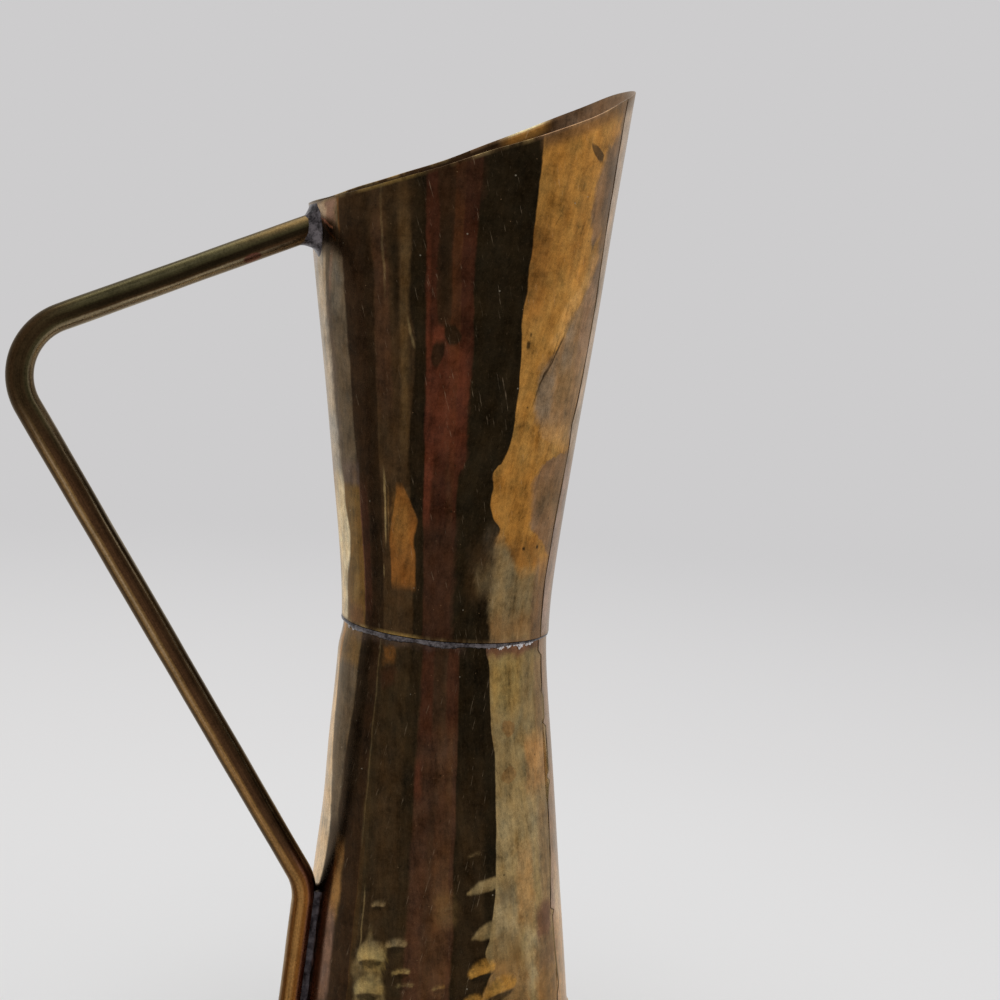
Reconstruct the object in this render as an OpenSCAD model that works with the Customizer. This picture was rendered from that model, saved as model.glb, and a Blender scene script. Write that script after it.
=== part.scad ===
// Hand-made brass ewer: two flared cones of rolled sheet, lapped and soft-soldered at the waist,
// with a slanting mouth and a handle bent from round rod.
// Millimetres. +Z is up and the origin is the middle of the base plate's underside.
// +X points to the spout and the handle stands on -X.

/* [Waist] */
// Height of the waist joint above the table
waist_h = 170; // [150:1:200]
// Outside diameter of the upper cone at the waist joint
waist_d = 68.5; // [58:0.5:80]
// Thickness of the brass sheet of both cones
sheet = 0.6; // [0.5:0.1:1.2]
// How far the collar of the lower cone reaches up inside the upper cone
lap = 7; // [4:0.5:12]
// Gap between the collar and the upper cone
lap_gap = 0.1; // [0.05:0.05:0.2]

/* [Cones] */
// Outside diameter of the upper cone at the middle height of its rim
mouth_d = 102; // [90:0.5:114]
// Height over which the upper wall bends from upright to its lean
upper_throat = 18.5; // [10:0.5:30]
// Outside diameter of the lower cone at its foot
foot_d = 98.4; // [88:0.1:112]
// Height over which the lower wall bends from upright to its lean
lower_throat = 15.5; // [10:0.5:30]

/* [Mouth] */
// Height of the rim above the waist joint, halfway between spout and handle
rim_mid_h = 151; // [144:1:170]
// Slope of the rim on its handle side, in degrees
rim_slope = 20.2; // [14:0.1:21]
// Radius of the rim's upward sweep on its spout side
lip_sweep_r = 375; // [260:5:900]

/* [Seam] */
// Angle of both sheet seams from the spout, towards -Y, in degrees
seam_angle = 43; // [20:1:150]
// Width of the soldered seam line
seam_w = 0.6; // [0.4:0.1:1]

/* [Handle] */
// Diameter of the handle rod
rod_d = 8; // [6:0.5:10]
// Distance below the rim at which the rod's centre line meets the upper cone
grip_joint_drop = 7; // [5:0.5:16]
// Distance of the outer corner of the centre line from the ewer's axis
grip_reach = 142.7; // [120:0.1:165]
// How far the centre line falls from its joint to its outer corner
grip_fall = 39.5; // [25:0.5:55]
// Height above the table where the centre line turns down along the wall
leg_corner_h = 84.5; // [70:0.5:105]
// Height above the table of the leg's cut end
leg_end_h = 28; // [15:1:50]
// Centre-line radius of both bends
bend_r = 18.5; // [12:0.5:26]
// Gap between the leg and the wall that it is soldered to
leg_gap = 0.1; // [0.05:0.05:0.3]

/* [Base] */
// Thickness of the base plate
plate_t = 1.2; // [0.8:0.1:2.5]
// Bevel filed on the plate's lower edge
plate_bevel = 0.4; // [0.2:0.1:0.7]

/* [Solder] */
// Radius of the round bead run along the waist joint
waist_bead_r = 1.3; // [1:0.1:1.8]
// How far the bead's crown stands outside the upper cone
waist_bead_crown = 0.3; // [0.1:0.05:0.6]
// Reach of the fillet round the rod's upper joint
joint_fillet = 6; // [4:0.5:8]
// Radius of the hollow fillets on both sides of the leg
leg_fillet_r = 1.8; // [1:0.1:2.5]
// Reach of the fillet inside, between wall and base plate
base_fillet = 2; // [1:0.5:4]

/* [Hidden] */
$fn = 256;

brass = [0.62, 0.45, 0.19];
dark_brass = [0.50, 0.36, 0.17];
rod_brass = [0.42, 0.32, 0.14];
solder_grey = [0.52, 0.51, 0.52];

// Vertical steps along each cone's curved outline
wall_steps = 22;
// Extra length that a cutting shape has beyond what it cuts
spare = 20;
// A fillet's hollow bites this far into the rod, so that its edge is not a knife edge
fillet_bite = 0.15;
// The rod is a hair thicker in its bends, and its straight lengths run this far into them
bend_swell = 0.03;
bend_overlap = 0.4;

waist_r = waist_d / 2;
rod_r = rod_d / 2;
collar_r = waist_r - sheet - lap_gap;

foot_r = foot_d / 2;
foot_h = waist_h - plate_t;

// Outside radius of a cone at height h from the waist: a hyperbola, upright at the waist,
// which widens from waist radius r to end_r at height end_h
function spread(h, throat) = sqrt(h * h + throat * throat) - throat;
function flared(r, end_r, end_h, throat, h) = r + (end_r - r) * spread(h, throat) / spread(end_h, throat);
function upper_r(h) = flared(waist_r, mouth_d / 2, rim_mid_h, upper_throat, h);
function lower_r(h) = flared(collar_r, foot_r, foot_h, lower_throat, h);

// Height of the rim above the waist joint, at x from the axis towards the spout
sweep_x = -lip_sweep_r * sin(rim_slope);
sweep_h = rim_mid_h + lip_sweep_r * cos(rim_slope);
function lip_h(x) = sweep_h - sqrt(lip_sweep_r * lip_sweep_r - (x - sweep_x) * (x - sweep_x));
// Height of the rim above the waist joint over the handle, where the wall is slightly narrower
function back_rim_h(r) = rim_mid_h - r * tan(rim_slope);
rim_back_h = back_rim_h(upper_r(back_rim_h(mouth_d / 2)));

// The upper sheet stands this high before its mouth is cut
blank_h = lip_h(upper_r(rim_mid_h) + spare);
widest_r = max(foot_r, upper_r(blank_h));

// Outline points of the walls, from the waist outwards; inset moves them in by the sheet
function upper_line(inset) =
    [for (i = [0 : wall_steps]) let (h = blank_h * i / wall_steps) [upper_r(h) - inset, waist_h + h]];
function lower_line(inset) =
    [for (i = [0 : wall_steps]) let (h = foot_h * i / wall_steps) [lower_r(h) - inset, waist_h - h]];
function reversed(list) = [for (i = [len(list) - 1 : -1 : 0]) list[i]];

// The handle's centre line, as points [x, z]
leg_top_r = lower_r(waist_h - leg_corner_h);
leg_end_r = lower_r(waist_h - leg_end_h);
leg_lean = atan2(leg_end_r - leg_top_r, leg_corner_h - leg_end_h);
leg_off = (rod_r + leg_gap) / cos(leg_lean);
joint_h = rim_back_h - grip_joint_drop;
joint_pt = [-upper_r(joint_h), waist_h + joint_h];
grip_corner = [-grip_reach, joint_pt.y - grip_fall];
leg_corner = [-leg_top_r - leg_off, leg_corner_h];
leg_end = [-leg_end_r - leg_off, leg_end_h];

function unit(v) = v / norm(v);
function heading(p, q) = atan2(q.y - p.y, q.x - p.x);
// Turn at corner b of the path a, b, c, positive to the left
function turn(a, b, c) = let (t = heading(b, c) - heading(a, b)) t > 180 ? t - 360 : t < -180 ? t + 360 : t;
// Length from a corner to where its bend begins
function setback(a, b, c) = bend_r * tan(abs(turn(a, b, c)) / 2);

joint_dir = unit(grip_corner - joint_pt);
rod_start = joint_pt - joint_dir * rod_d;
grip_setback = setback(rod_start, grip_corner, leg_corner);
leg_setback = setback(grip_corner, leg_corner, leg_end);
slope_dir = unit(leg_corner - grip_corner);
leg_dir = unit(leg_end - leg_corner);
leg_begin = leg_corner + leg_dir * leg_setback;
// Lean of the upper wall at the handle joint, in degrees
joint_lean = atan((upper_r(joint_h + rod_r) - upper_r(joint_h - rod_r)) / rod_d);

// Revolved forms of the two cones

module upper_solid_outline() polygon(concat([[0, waist_h]], upper_line(0), [[0, waist_h + blank_h]]));

module lower_solid_outline()
    polygon(concat([[0, plate_t], [0, waist_h]], lower_line(0)));

module upper_sheet() difference() {
    rotate_extrude() polygon(concat(upper_line(0), reversed(upper_line(sheet))));
    mouth_cut();
}

module lower_sheet() rotate_extrude()
    polygon(concat(
        reversed(lower_line(0)),
        [[collar_r, waist_h + lap], [collar_r - sheet, waist_h + lap]],
        lower_line(sheet)
    ));

// Everything above the rim: a flat slope on the handle side, an upward sweep on the spout side
module mouth_cut() {
    half = widest_r + spare;
    top = blank_h + spare;
    translate([0, 0, waist_h]) rotate([90, 0, 0]) linear_extrude(height = 2 * half, center = true) {
        polygon([[0, rim_mid_h], [0, top], [-half, top], [-half, rim_mid_h - half * tan(rim_slope)]]);
        intersection() {
            translate([sweep_x, sweep_h]) circle(lip_sweep_r);
            square([half, top]);
        }
    }
}

// A thin radial slice at the seams' angle
module seam_slice() rotate([0, 0, -seam_angle]) translate([0, -seam_w / 2, 0])
    cube([widest_r + spare, seam_w, waist_h + blank_h + spare]);

// Round rod in the XZ plane

// A straight length from p to q, let into the bends at its ends
module straight_rod(p, q) {
    let_in = unit(q - p) * bend_overlap;
    translate([p.x - let_in.x, 0, p.y - let_in.y]) rotate([0, 90 - heading(p, q), 0])
        cylinder(r = rod_r, h = norm(q - p) + 2 * bend_overlap);
}

// The bend at corner b, which begins one setback before the corner
module rod_bend(a, b, c) {
    left = sign(turn(a, b, c));
    side = heading(a, b) + 90 * left;
    begin = b - unit(b - a) * setback(a, b, c);
    centre = begin + bend_r * [cos(side), sin(side)];
    translate([centre.x, 0, centre.y]) rotate([90, 0, 0])
        rotate([0, 0, left > 0 ? side + 180 : side + 180 + turn(a, b, c)])
            rotate_extrude(angle = abs(turn(a, b, c))) translate([bend_r, 0]) circle(rod_r + bend_swell);
}

module grip_arm() straight_rod(rod_start, grip_corner - joint_dir * grip_setback);

module slope_arm() straight_rod(grip_corner + slope_dir * grip_setback, leg_corner - slope_dir * leg_setback);

module leg_arm() straight_rod(leg_begin, leg_end);

// Sheet, plate and rod

module upper_body() color(brass) difference() {
    upper_sheet();
    seam_slice();
}

module lower_body() color(brass) difference() {
    lower_sheet();
    seam_slice();
}

module base_plate() color(dark_brass) rotate_extrude()
    polygon([[0, 0], [foot_r - plate_bevel, 0], [foot_r, plate_bevel], [foot_r, plate_t], [0, plate_t]]);

// The rod's upper end is coped to the round wall
module handle_rod() color(rod_brass) difference() {
    union() {
        grip_arm();
        rod_bend(rod_start, grip_corner, leg_corner);
        slope_arm();
        rod_bend(grip_corner, leg_corner, leg_end);
        leg_arm();
    }
    rotate_extrude() upper_solid_outline();
}

// Solder

// A round bead in the step under the upper cone's edge
module waist_solder() color(solder_grey) rotate_extrude() difference() {
    translate([waist_r + waist_bead_crown - waist_bead_r, waist_h - waist_bead_r / 2]) circle(waist_bead_r);
    upper_solid_outline();
    lower_solid_outline();
}

module upper_seam_solder() color(solder_grey) intersection() {
    upper_sheet();
    seam_slice();
}

module lower_seam_solder() color(solder_grey) intersection() {
    lower_sheet();
    seam_slice();
}

// A hollow-sided cone on the wall round the coped rod end, cut off level with the rim
module upper_handle_solder() {
    foot = rod_r + joint_fillet;
    color(solder_grey) difference() {
        translate([joint_pt.x, 0, joint_pt.y]) rotate([0, -90 - joint_lean, 0]) rotate_extrude() difference() {
            translate([0, -joint_fillet]) square([foot, 2 * joint_fillet]);
            translate([foot, joint_fillet]) circle(joint_fillet);
        }
        grip_arm();
        rotate_extrude() upper_solid_outline();
        mouth_cut();
    }
}

// Hollow fillets in the two grooves between the leg and the wall, stopping short of the leg's end
module lower_handle_solder() {
    low = leg_end - leg_dir * leg_fillet_r;
    out = 2 * sqrt(rod_r * leg_fillet_r);
    rise = rod_r * (rod_r - leg_fillet_r) / (rod_r + leg_fillet_r);
    color(solder_grey) difference() {
        translate([low.x, 0, low.y]) rotate([0, 90 - heading(low, leg_begin), 0])
            linear_extrude(height = norm(leg_begin - low)) difference() {
                translate([rise, -out]) square([rod_d - rise, 2 * out]);
                for (side = [-1, 1])
                    translate([rod_r - leg_fillet_r, side * out]) circle(leg_fillet_r + fillet_bite);
            }
        leg_arm();
        rotate_extrude() lower_solid_outline();
    }
}

module base_solder() color(solder_grey) rotate_extrude() difference() {
    inner_r = foot_r - sheet;
    translate([inner_r - base_fillet, plate_t]) square([base_fillet, base_fillet]);
    translate([inner_r - base_fillet, plate_t + base_fillet]) circle(base_fillet);
    polygon(concat(lower_line(sheet), reversed([for (p = lower_line(sheet)) p + [spare, 0]])));
}

upper_body();
lower_body();
base_plate();
handle_rod();
waist_solder();
upper_seam_solder();
lower_seam_solder();
upper_handle_solder();
lower_handle_solder();
base_solder();
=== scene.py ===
"""Looks of a hand-made brass ewer: two flared cones of rolled sheet, a handle bent from round rod,
and grey solder. Shapes are worked out in millimetres in the CAD frame and written in metres.
+X points to the spout, the handle stands on -X, +Z is up and the origin is under the base."""

import math

import bpy
import numpy as np
from mathutils import Matrix


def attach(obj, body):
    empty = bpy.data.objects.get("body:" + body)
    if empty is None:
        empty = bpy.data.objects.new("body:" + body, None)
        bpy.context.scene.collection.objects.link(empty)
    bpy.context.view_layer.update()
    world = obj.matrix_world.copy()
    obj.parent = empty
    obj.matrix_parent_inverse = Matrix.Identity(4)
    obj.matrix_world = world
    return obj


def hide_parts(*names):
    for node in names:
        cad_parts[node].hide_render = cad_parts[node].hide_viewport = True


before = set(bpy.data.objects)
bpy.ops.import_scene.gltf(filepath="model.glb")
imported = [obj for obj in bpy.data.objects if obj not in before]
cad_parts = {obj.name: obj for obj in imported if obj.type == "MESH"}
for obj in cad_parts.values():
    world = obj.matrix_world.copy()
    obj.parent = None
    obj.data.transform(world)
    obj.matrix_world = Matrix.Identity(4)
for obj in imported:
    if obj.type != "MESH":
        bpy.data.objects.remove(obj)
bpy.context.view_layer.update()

MM = 0.001

# Sizes of the ewer, in millimetres
WAIST_H = 170.0
WAIST_R = 34.25
COLLAR_R = 33.55
SHEET = 0.6
LAP = 7.0
MOUTH_R = 51.0
UPPER_THROAT = 18.5
FOOT_R = 49.2
LOWER_THROAT = 15.5
PLATE_T = 1.2
FOOT_DEPTH = WAIST_H - PLATE_T
RIM_MID_H = 151.0
RIM_SLOPE = math.radians(20.2)
LIP_SWEEP_R = 375.0
SEAM_ANGLE = 43.0
SEAM_W = 0.6
ROD_R = 4.0
JOINT_DROP = 7.0
GRIP_REACH = 142.7
GRIP_FALL = 39.5
LEG_CORNER_H = 84.5
LEG_END_H = 28.0
BEND_R = 18.5
LEG_GAP = 0.1

# Level of the light that the upright walls mirror, so that a stain shows in the tone it is given
MIRRORED_LIGHT = 0.72
# Tint of what brass mirrors near its outline
EDGE_TINT = (0.95, 0.88, 0.78, 1.0)
# Length of one degree of turn along the sheets, about halfway up
MM_PER_DEGREE = 0.72
# Lap at the waist, cut out of square: mean lift and tilt in millimetres, turn of its highest point
LAP_LIFT, LAP_TILT, LAP_TURN = 0.4, 1.6, 152.0
# Ripple of the two sheets: a seed each, and the distances from the waist and the foot over which it fades in
UPPER_RIPPLE, LOWER_RIPPLE = 1.0, 2.3
WAIST_FADE, FOOT_FADE = (4, 40), (0, 12)
# Rounding of the rim's edges, and the half width and the rows of the solder shown in a seam
EDGE_ROUND = 0.14
SEAM_HALF, SEAM_ROWS = 0.5, 260
# Turn at the back past which the stains count it as a negative one
TURN_JUMP = 250.0
# Wander of the two seams: knots of height above or depth below the waist, and turn in degrees
UPPER_SEAM = [
    (0, 3.8), (18, 4.6), (29, 3.4), (40, 2.6), (49, 1.5), (60, 1.2), (68, 2.4), (76, -0.4), (83, -2.0),
    (92, -2.7), (106, -2.8), (118, -1.7), (136, -0.4), (150, -0.9), (168, -1.4),
]
LOWER_SEAM = [
    (0, 3.4), (5.6, 3.8), (7.4, -0.8), (18, -0.4), (19, 1.2), (21.4, -2.2), (28.6, -2.2), (29.4, 0.6),
    (31.4, -4.8), (33, -4.3), (46, -4.4), (47.6, -0.8), (49.6, -5.2), (51.4, -3.0), (56, -1.0), (68.6, 0.6),
    (77.7, 2.0), (88, 4.0), (90, 4.2), (91.4, 0.6), (93, 3.0), (97, 2.8), (105, 1.5), (117, -1.0),
    (119.4, 1.5), (136, 1.2), (138.4, -2.0), (169, -1.6),
]


# Outlines of the two cones

def spread(h, throat):
    """Hyperbola that starts upright: root of h squared plus throat squared, less throat."""
    return np.sqrt(h * h + throat * throat) - throat


def upper_radius(h):
    """Outside radius of the upper cone at h above the waist: the waist's plus a share of the hyperbola."""
    return WAIST_R + (MOUTH_R - WAIST_R) * spread(h, UPPER_THROAT) / spread(RIM_MID_H, UPPER_THROAT)


def lower_radius(d):
    """Outside radius of the lower cone at d below the waist, and the collar's radius above it."""
    d = np.maximum(d, 0.0)
    return COLLAR_R + (FOOT_R - COLLAR_R) * spread(d, LOWER_THROAT) / spread(FOOT_DEPTH, LOWER_THROAT)


def rim_height(x):
    """Height of the rim above the waist: a straight slope by the handle, a circular sweep to the spout."""
    centre_x = -LIP_SWEEP_R * math.sin(RIM_SLOPE)
    centre_h = RIM_MID_H + LIP_SWEEP_R * math.cos(RIM_SLOPE)
    sweep = centre_h - np.sqrt(LIP_SWEEP_R ** 2 - (x - centre_x) ** 2)
    return np.where(x < 0, RIM_MID_H + x * math.tan(RIM_SLOPE), sweep)


def rim_at(azimuth):
    """Rim height at each azimuth: the height goes back into the cone's radius until it settles."""
    h = np.full_like(azimuth, RIM_MID_H)
    for _ in range(12):
        h = rim_height(upper_radius(h) * np.cos(azimuth))
    return h


def azimuth_of(turn):
    """Azimuth in radians of a turn in degrees from the seam, away from the spout past the near side."""
    return np.radians(-SEAM_ANGLE - turn)


def ease(value, low, high):
    """Smooth step from 0 at low to 1 at high."""
    t = np.clip((value - low) / (high - low), 0.0, 1.0)
    return t * t * (3 - 2 * t)


# Meshes

def grid_quads(rows, columns, close_rows, close_columns):
    """Corners of the quads between neighbours on a grid, which may close on itself along each axis."""
    last_row, last_column = rows - (not close_rows), columns - (not close_columns)
    i, j = np.meshgrid(np.arange(last_row), np.arange(last_column), indexing="ij")
    i2, j2 = (i + 1) % rows, (j + 1) % columns
    corners = [i * columns + j, i * columns + j2, i2 * columns + j2, i2 * columns + j]
    return np.stack(corners, -1).reshape(-1, 4)


def link_mesh(name, points, faces, material):
    """Smooth mesh of points and faces, and the object that shows it."""
    mesh = bpy.data.meshes.new(name)
    mesh.from_pydata(points.tolist(), [], faces)
    mesh.shade_smooth()
    mesh.materials.append(material)
    piece = bpy.data.objects.new(name, mesh)
    bpy.context.scene.collection.objects.link(piece)
    return piece


def add_piece(name, points, material, marks=None, ring=False):
    """Mesh of one or several closed sections (third axis from the end of the points' array, before the path
    and the coordinates), each carried along its path. Quads join neighbours on the grid. A ring closes the
    path on itself, and otherwise each end gets one flat face. Faces are turned outwards by the sign of the
    enclosed volume, which is the sum of the triple products of the faces' corners."""
    grids = points.reshape(-1, *points.shape[-3:]) * MM
    rows, columns = grids.shape[1:3]
    quads = grid_quads(rows, columns, True, ring)
    first_end = np.arange(0, rows * columns, columns)
    ends = [] if ring else [first_end, first_end[::-1] + columns - 1]
    faces = []
    for k, grid in enumerate(grids.reshape(len(grids), -1, 3)):
        a, b, c, d = (grid[quads[:, corner]] for corner in range(4))
        volume = np.sum(a * np.cross(b, c)) + np.sum(a * np.cross(c, d))
        way = -1 if volume < 0 else 1
        shift = k * rows * columns
        faces += (quads[:, ::way] + shift).tolist() + [(end[::way] + shift).tolist() for end in ends]
    piece = link_mesh(name, grids.reshape(-1, 3), faces, material)
    mesh = piece.data
    for mark, values in (marks or {}).items():
        layer = mesh.attributes.new(mark, "FLOAT", "POINT")
        layer.data.foreach_set("value", np.ascontiguousarray(values, dtype=np.float32).ravel())
    mesh.set_sharp_from_angle(angle=math.radians(50))
    mesh.validate()
    return piece


def ripple(azimuth, h, seed):
    """Slight waviness of hand-rolled sheet: a sum of three sines of the azimuth and the height."""
    return (
        0.16 * np.sin(3 * azimuth + h / 34 + seed)
        + 0.11 * np.sin(5 * azimuth - h / 23 + 2 * seed)
        + 0.06 * np.sin(9 * azimuth + h / 11 + 3 * seed)
    )


def wander(knots, along, wave):
    """Turn of a seam in degrees: straight between its knots, with two small sines along it."""
    places, turns = zip(*knots)
    waves = 0.2 * np.sin(along / wave) + 0.1 * np.sin(along / (0.43 * wave) + 1)
    return np.interp(along, places, turns) + waves


def seam_turn(h):
    """The upper seam leans from the waist, kinks at mid-height and swings back to the rim."""
    return wander(UPPER_SEAM, h, 6.0)


def lower_seam_turn(d):
    """The lips of the lower seam interlock in tabs, so the line steps sideways."""
    return wander(LOWER_SEAM, d, 4.1)


def lap_lift(turn):
    """Height of the upper sheet's lower edge over the waist's level: one cosine of the turn about a mean."""
    return LAP_LIFT + LAP_TILT * np.cos(np.radians(turn - LAP_TURN))


def upper_wall(turn, h):
    """Outside radius of the upper sheet: its cone's, with the ripple, which fades in above the waist."""
    return upper_radius(h) + ripple(azimuth_of(turn), h, UPPER_RIPPLE) * ease(h, *WAIST_FADE)


def lower_wall(turn, d):
    """Outside radius of the lower sheet between its bosses: its cone's, with the ripple, which fades in
    below the waist and above the foot, and with the swell."""
    calm = ease(d, *WAIST_FADE) * ease(FOOT_DEPTH - d, *FOOT_FADE)
    return lower_radius(d) + ripple(azimuth_of(turn), d, LOWER_RIPPLE) * calm + swell(turn, d)


def sheet_turns(columns, centre, radius):
    """Turns in degrees of a sheet's columns, from one lip of its seam all the way round to the other."""
    gap = np.degrees(0.5 * SEAM_W / radius)
    share = np.linspace(0.0, 1.0, columns)
    return (centre + gap)[:, None] + (360.0 - 2 * gap)[:, None] * share


def cone_points(turn, radius, z):
    """Points on a cone from turn, radius and height arrays."""
    azimuth = azimuth_of(turn)
    return np.stack([radius * np.cos(azimuth), radius * np.sin(azimuth), z], -1)


def seam_rim():
    """Height of the rim where the seam reaches it."""
    return float(rim_at(azimuth_of(np.zeros(1)))[0])


def make_upper_cone(material):
    """Rolled sheet with a slanting mouth: rows climb the outside to the rim, turn over its rounded
    edge and go down the inside; each column scales the rows from the lap's edge to the rim's height there."""
    columns = 360
    climb = np.linspace(0.0, 1.0, 110)
    share = np.concatenate([climb, [1, 1], climb[::-1]])
    rows = len(share)
    half = len(climb)
    inset = np.concatenate([np.zeros(half), [EDGE_ROUND, SHEET - EDGE_ROUND], np.full(half, SHEET)])
    drop = np.where(np.isin(np.arange(rows), (half - 1, half + 2)), EDGE_ROUND, 0.0)
    seam_h = lap_lift(0.0) + share * (seam_rim() - lap_lift(0.0))
    turn = sheet_turns(columns, seam_turn(seam_h), upper_radius(seam_h))
    azimuth = azimuth_of(turn)
    rim = rim_at(azimuth) + 0.12 * np.sin(7 * azimuth + 1) + 0.08 * np.sin(13 * azimuth)
    lap = lap_lift(turn)
    h = lap + share[:, None] * (rim - lap) - drop[:, None]
    radius = upper_wall(turn, h) - inset[:, None]
    points = cone_points(turn, radius, WAIST_H + h)
    inner = (np.arange(rows) > half)[:, None] * np.ones_like(h)
    # Edges that the material paints lighter, partly as rubbed metal and partly as a painted highlight.
    to_rim = ease(rim - h, 0.5, 0.12)
    to_waist = ease(h - lap, 0.5, 0.15)
    edge = np.maximum(to_rim, to_waist)
    marks = {"turn": turn, "rise": h, "inside": inner, "edge": edge, "below_rim": rim - h}
    return add_piece("upper_cone", points, material, marks)


# Bosses that stand alone or lead into the crowd: turn, depth, half width, half height and height
BOSSES = (
    (50.0, 66.0, 2.8, 2.4, 0.4), (45.5, 75.6, 5.4, 3.6, 0.3), (45.0, 90.0, 4.6, 3.6, 0.3),
    (46.0, 102.3, 5.4, 4.2, 1.3), (37.5, 108.8, 7.0, 4.8, 1.3), (50.5, 112.8, 4.6, 4.0, 1.2),
    (37.0, 89.0, 2.2, 2.6, 0.3), (33.0, 79.0, 3.2, 3.0, 0.3), (93.0, 83.0, 3.0, 3.0, 0.7),
    (83.5, 94.2, 4.4, 4.0, 0.7), (94.4, 99.2, 6.2, 5.6, 1.2), (94.4, 109.8, 6.2, 5.6, 1.2),
    (80.5, 102.8, 3.7, 3.0, 0.55), (78.6, 106.8, 3.6, 2.6, 0.4), (62.5, 82.5, 3.0, 3.0, 0.25),
    (64.5, 107.0, 2.6, 2.5, 0.4), (66.0, 113.6, 3.4, 3.0, 0.4),
)
# Tilt of the single bosses, as depth over width
BOSS_TILT = 0.25
# Rows of crowded bosses: first depth, end, step from row to row and spacing along a row
CROWD_FROM, CROWD_TO, CROWD_STEP, CROWD_PITCH = 94.0, 164.0, 6.2, 9.4


def boss_crowd():
    """Bosses in rows down to the foot, drawn at random: each row holds more of its places than the one above,
    and the near side stays smooth for longer than the back."""
    draw = np.random.RandomState(7)
    crowd = []
    for row, depth in enumerate(np.arange(CROWD_FROM, CROWD_TO, CROWD_STEP)):
        count = int(2 * math.pi * lower_radius(depth) / CROWD_PITCH)
        keep = min(0.3 + 0.2 * row, 0.97)
        for k in range(count):
            place = 360.0 * (k + 0.5 * (row % 2)) / count + draw.uniform(-3.2, 3.2)
            sizes = draw.uniform(3.6, 6.4), draw.uniform(3.4, 5.0), draw.uniform(0.8, 1.5)
            boss = (place, depth + draw.uniform(-2.2, 2.2), *sizes, draw.uniform(-0.3, 0.4))
            smooth_to = 116 if 25 < place < 106 else 130 if place < 140 or place > 315 else 0
            if draw.uniform() < keep and boss[1] > smooth_to:
                crowd.append(boss)
    return crowd


def boss_field(turn, d):
    """Height in millimetres of the bosses hammered out of the lower cone, the painted highlight on their
    upper flanks and the painted shade under them. Each boss is a dome on a tilted ellipse: one less the
    squared distance, to a power, cut back below its arched crest. The painted highlight grows down to the
    crest and gives way to painted shade there; it covers more of a high boss. Single bosses lead into the
    crowd."""
    height, painted_highlight, shade = np.zeros_like(d), np.zeros_like(d), np.zeros_like(d)
    radius = lower_radius(d)
    singles = [boss + (BOSS_TILT,) for boss in BOSSES]
    for place, depth, half_w, half_h, top, tilt in singles + boss_crowd():
        across = np.radians((turn - place + 180.0) % 360.0 - 180.0) * radius / half_w
        down = (d - depth) / half_h - tilt * across
        rest = np.clip(1 - across ** 2 - down ** 2, 0, None)
        clear = ease(rest, 0.0, 0.6) * min(top / 0.9, 1.0)
        cover = 0.6 * ease(top, 0.8, 1.2)
        down = down - 0.4 * across ** 2
        glow = cover + (1 - cover) * ease(down, -0.75, 0.05)
        height = np.maximum(height, top * rest ** 1.25 * (1 - 0.45 * ease(down, 0.15, 0.7)))
        painted_highlight = np.maximum(painted_highlight, clear * glow * ease(down, 0.32, 0.12))
        shade = np.maximum(shade, clear * ease(down, 0.1, 0.36) * ease(across ** 2, 0.85, 0.3))
    return height, painted_highlight, shade


def swell(turn, d):
    """Millimetres by which the lower cone isn't round: squared cosines of the turn, on the handle side just
    below the waist and on the spout side lower down, each fading up and down."""
    handle_side = np.clip(np.cos(np.radians(turn - LAP_TURN)), 0, None) ** 2
    spout_side = np.clip(np.cos(np.radians(turn + 18.0)), 0, None) ** 2
    below_waist = ease(d, 0, 10) * ease(d, 66, 34)
    low_down = ease(d, 0, 110) * ease(d, 166, 135)
    return 1.3 * handle_side * below_waist + 1.5 * spout_side * low_down


def make_lower_cone(material):
    """Rolled sheet that widens downwards from its collar: rows go down the outside, closely where it is
    hammered, round the foot's edge and up the inside. The bosses lift the outside along its radius."""
    columns = 400
    smooth, hammered = np.linspace(1.2, 57.6, 47), np.linspace(58.3, FOOT_DEPTH, 164)
    outside = np.concatenate([np.linspace(-LAP, 0, 4), smooth, hammered])
    inside = np.linspace(FOOT_DEPTH, -LAP, 14)
    depth = np.concatenate([outside, inside])
    inner = np.arange(len(depth)) >= len(outside)
    turn = sheet_turns(columns, lower_seam_turn(np.maximum(depth, 0)), lower_radius(depth))
    d = depth[:, None] * np.ones_like(turn)
    boss, painted_highlight, shade = boss_field(turn, d)
    outer = ~inner[:, None]
    radius = lower_wall(turn, d) - inner[:, None] * SHEET + boss * outer
    points = cone_points(turn, radius, WAIST_H - d)
    # The bosses' painted highlight and painted shade go to the material as marks.
    marks = {
        "turn": turn, "rise": d, "inside": inner[:, None] * np.ones_like(d),
        "painted_highlight": painted_highlight * outer, "shade": shade * outer,
    }
    return add_piece("lower_cone", points, material, marks)


def seam_strip(name, material, heights, turns, radius, z):
    """Line of solder in a seam: a flat section, a little proud outside, carried along the seam's wander."""
    side = np.array([-1.0, -0.5, 0.5, 1.0, 1.0, 0.5, -0.5, -1.0])
    depth = np.array([-0.02, 0.10, 0.10, -0.02, -SHEET + 0.02, -SHEET - 0.04, -SHEET - 0.04, -SHEET + 0.02])
    uneven = 1 + 0.2 * np.sin(heights / 5.3) + 0.12 * np.sin(heights / 1.9 + 1)
    r = radius[None, :] + depth[:, None] * np.where(depth[:, None] > 0, uneven[None, :], 1.0)
    turn = turns[None, :] + np.degrees(side[:, None] * SEAM_HALF * uneven[None, :] / radius[None, :])
    return add_piece(name, cone_points(turn, r, np.broadcast_to(z, turn.shape)), material)


def make_upper_seam(material):
    """Upper seam's solder, from the waist to just under the rim."""
    h = np.linspace(lap_lift(0.0) + 0.1, seam_rim() - 0.1, SEAM_ROWS)
    turns = seam_turn(h)
    return seam_strip("upper_seam", material, h, turns, upper_wall(turns, h), WAIST_H + h)


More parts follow.
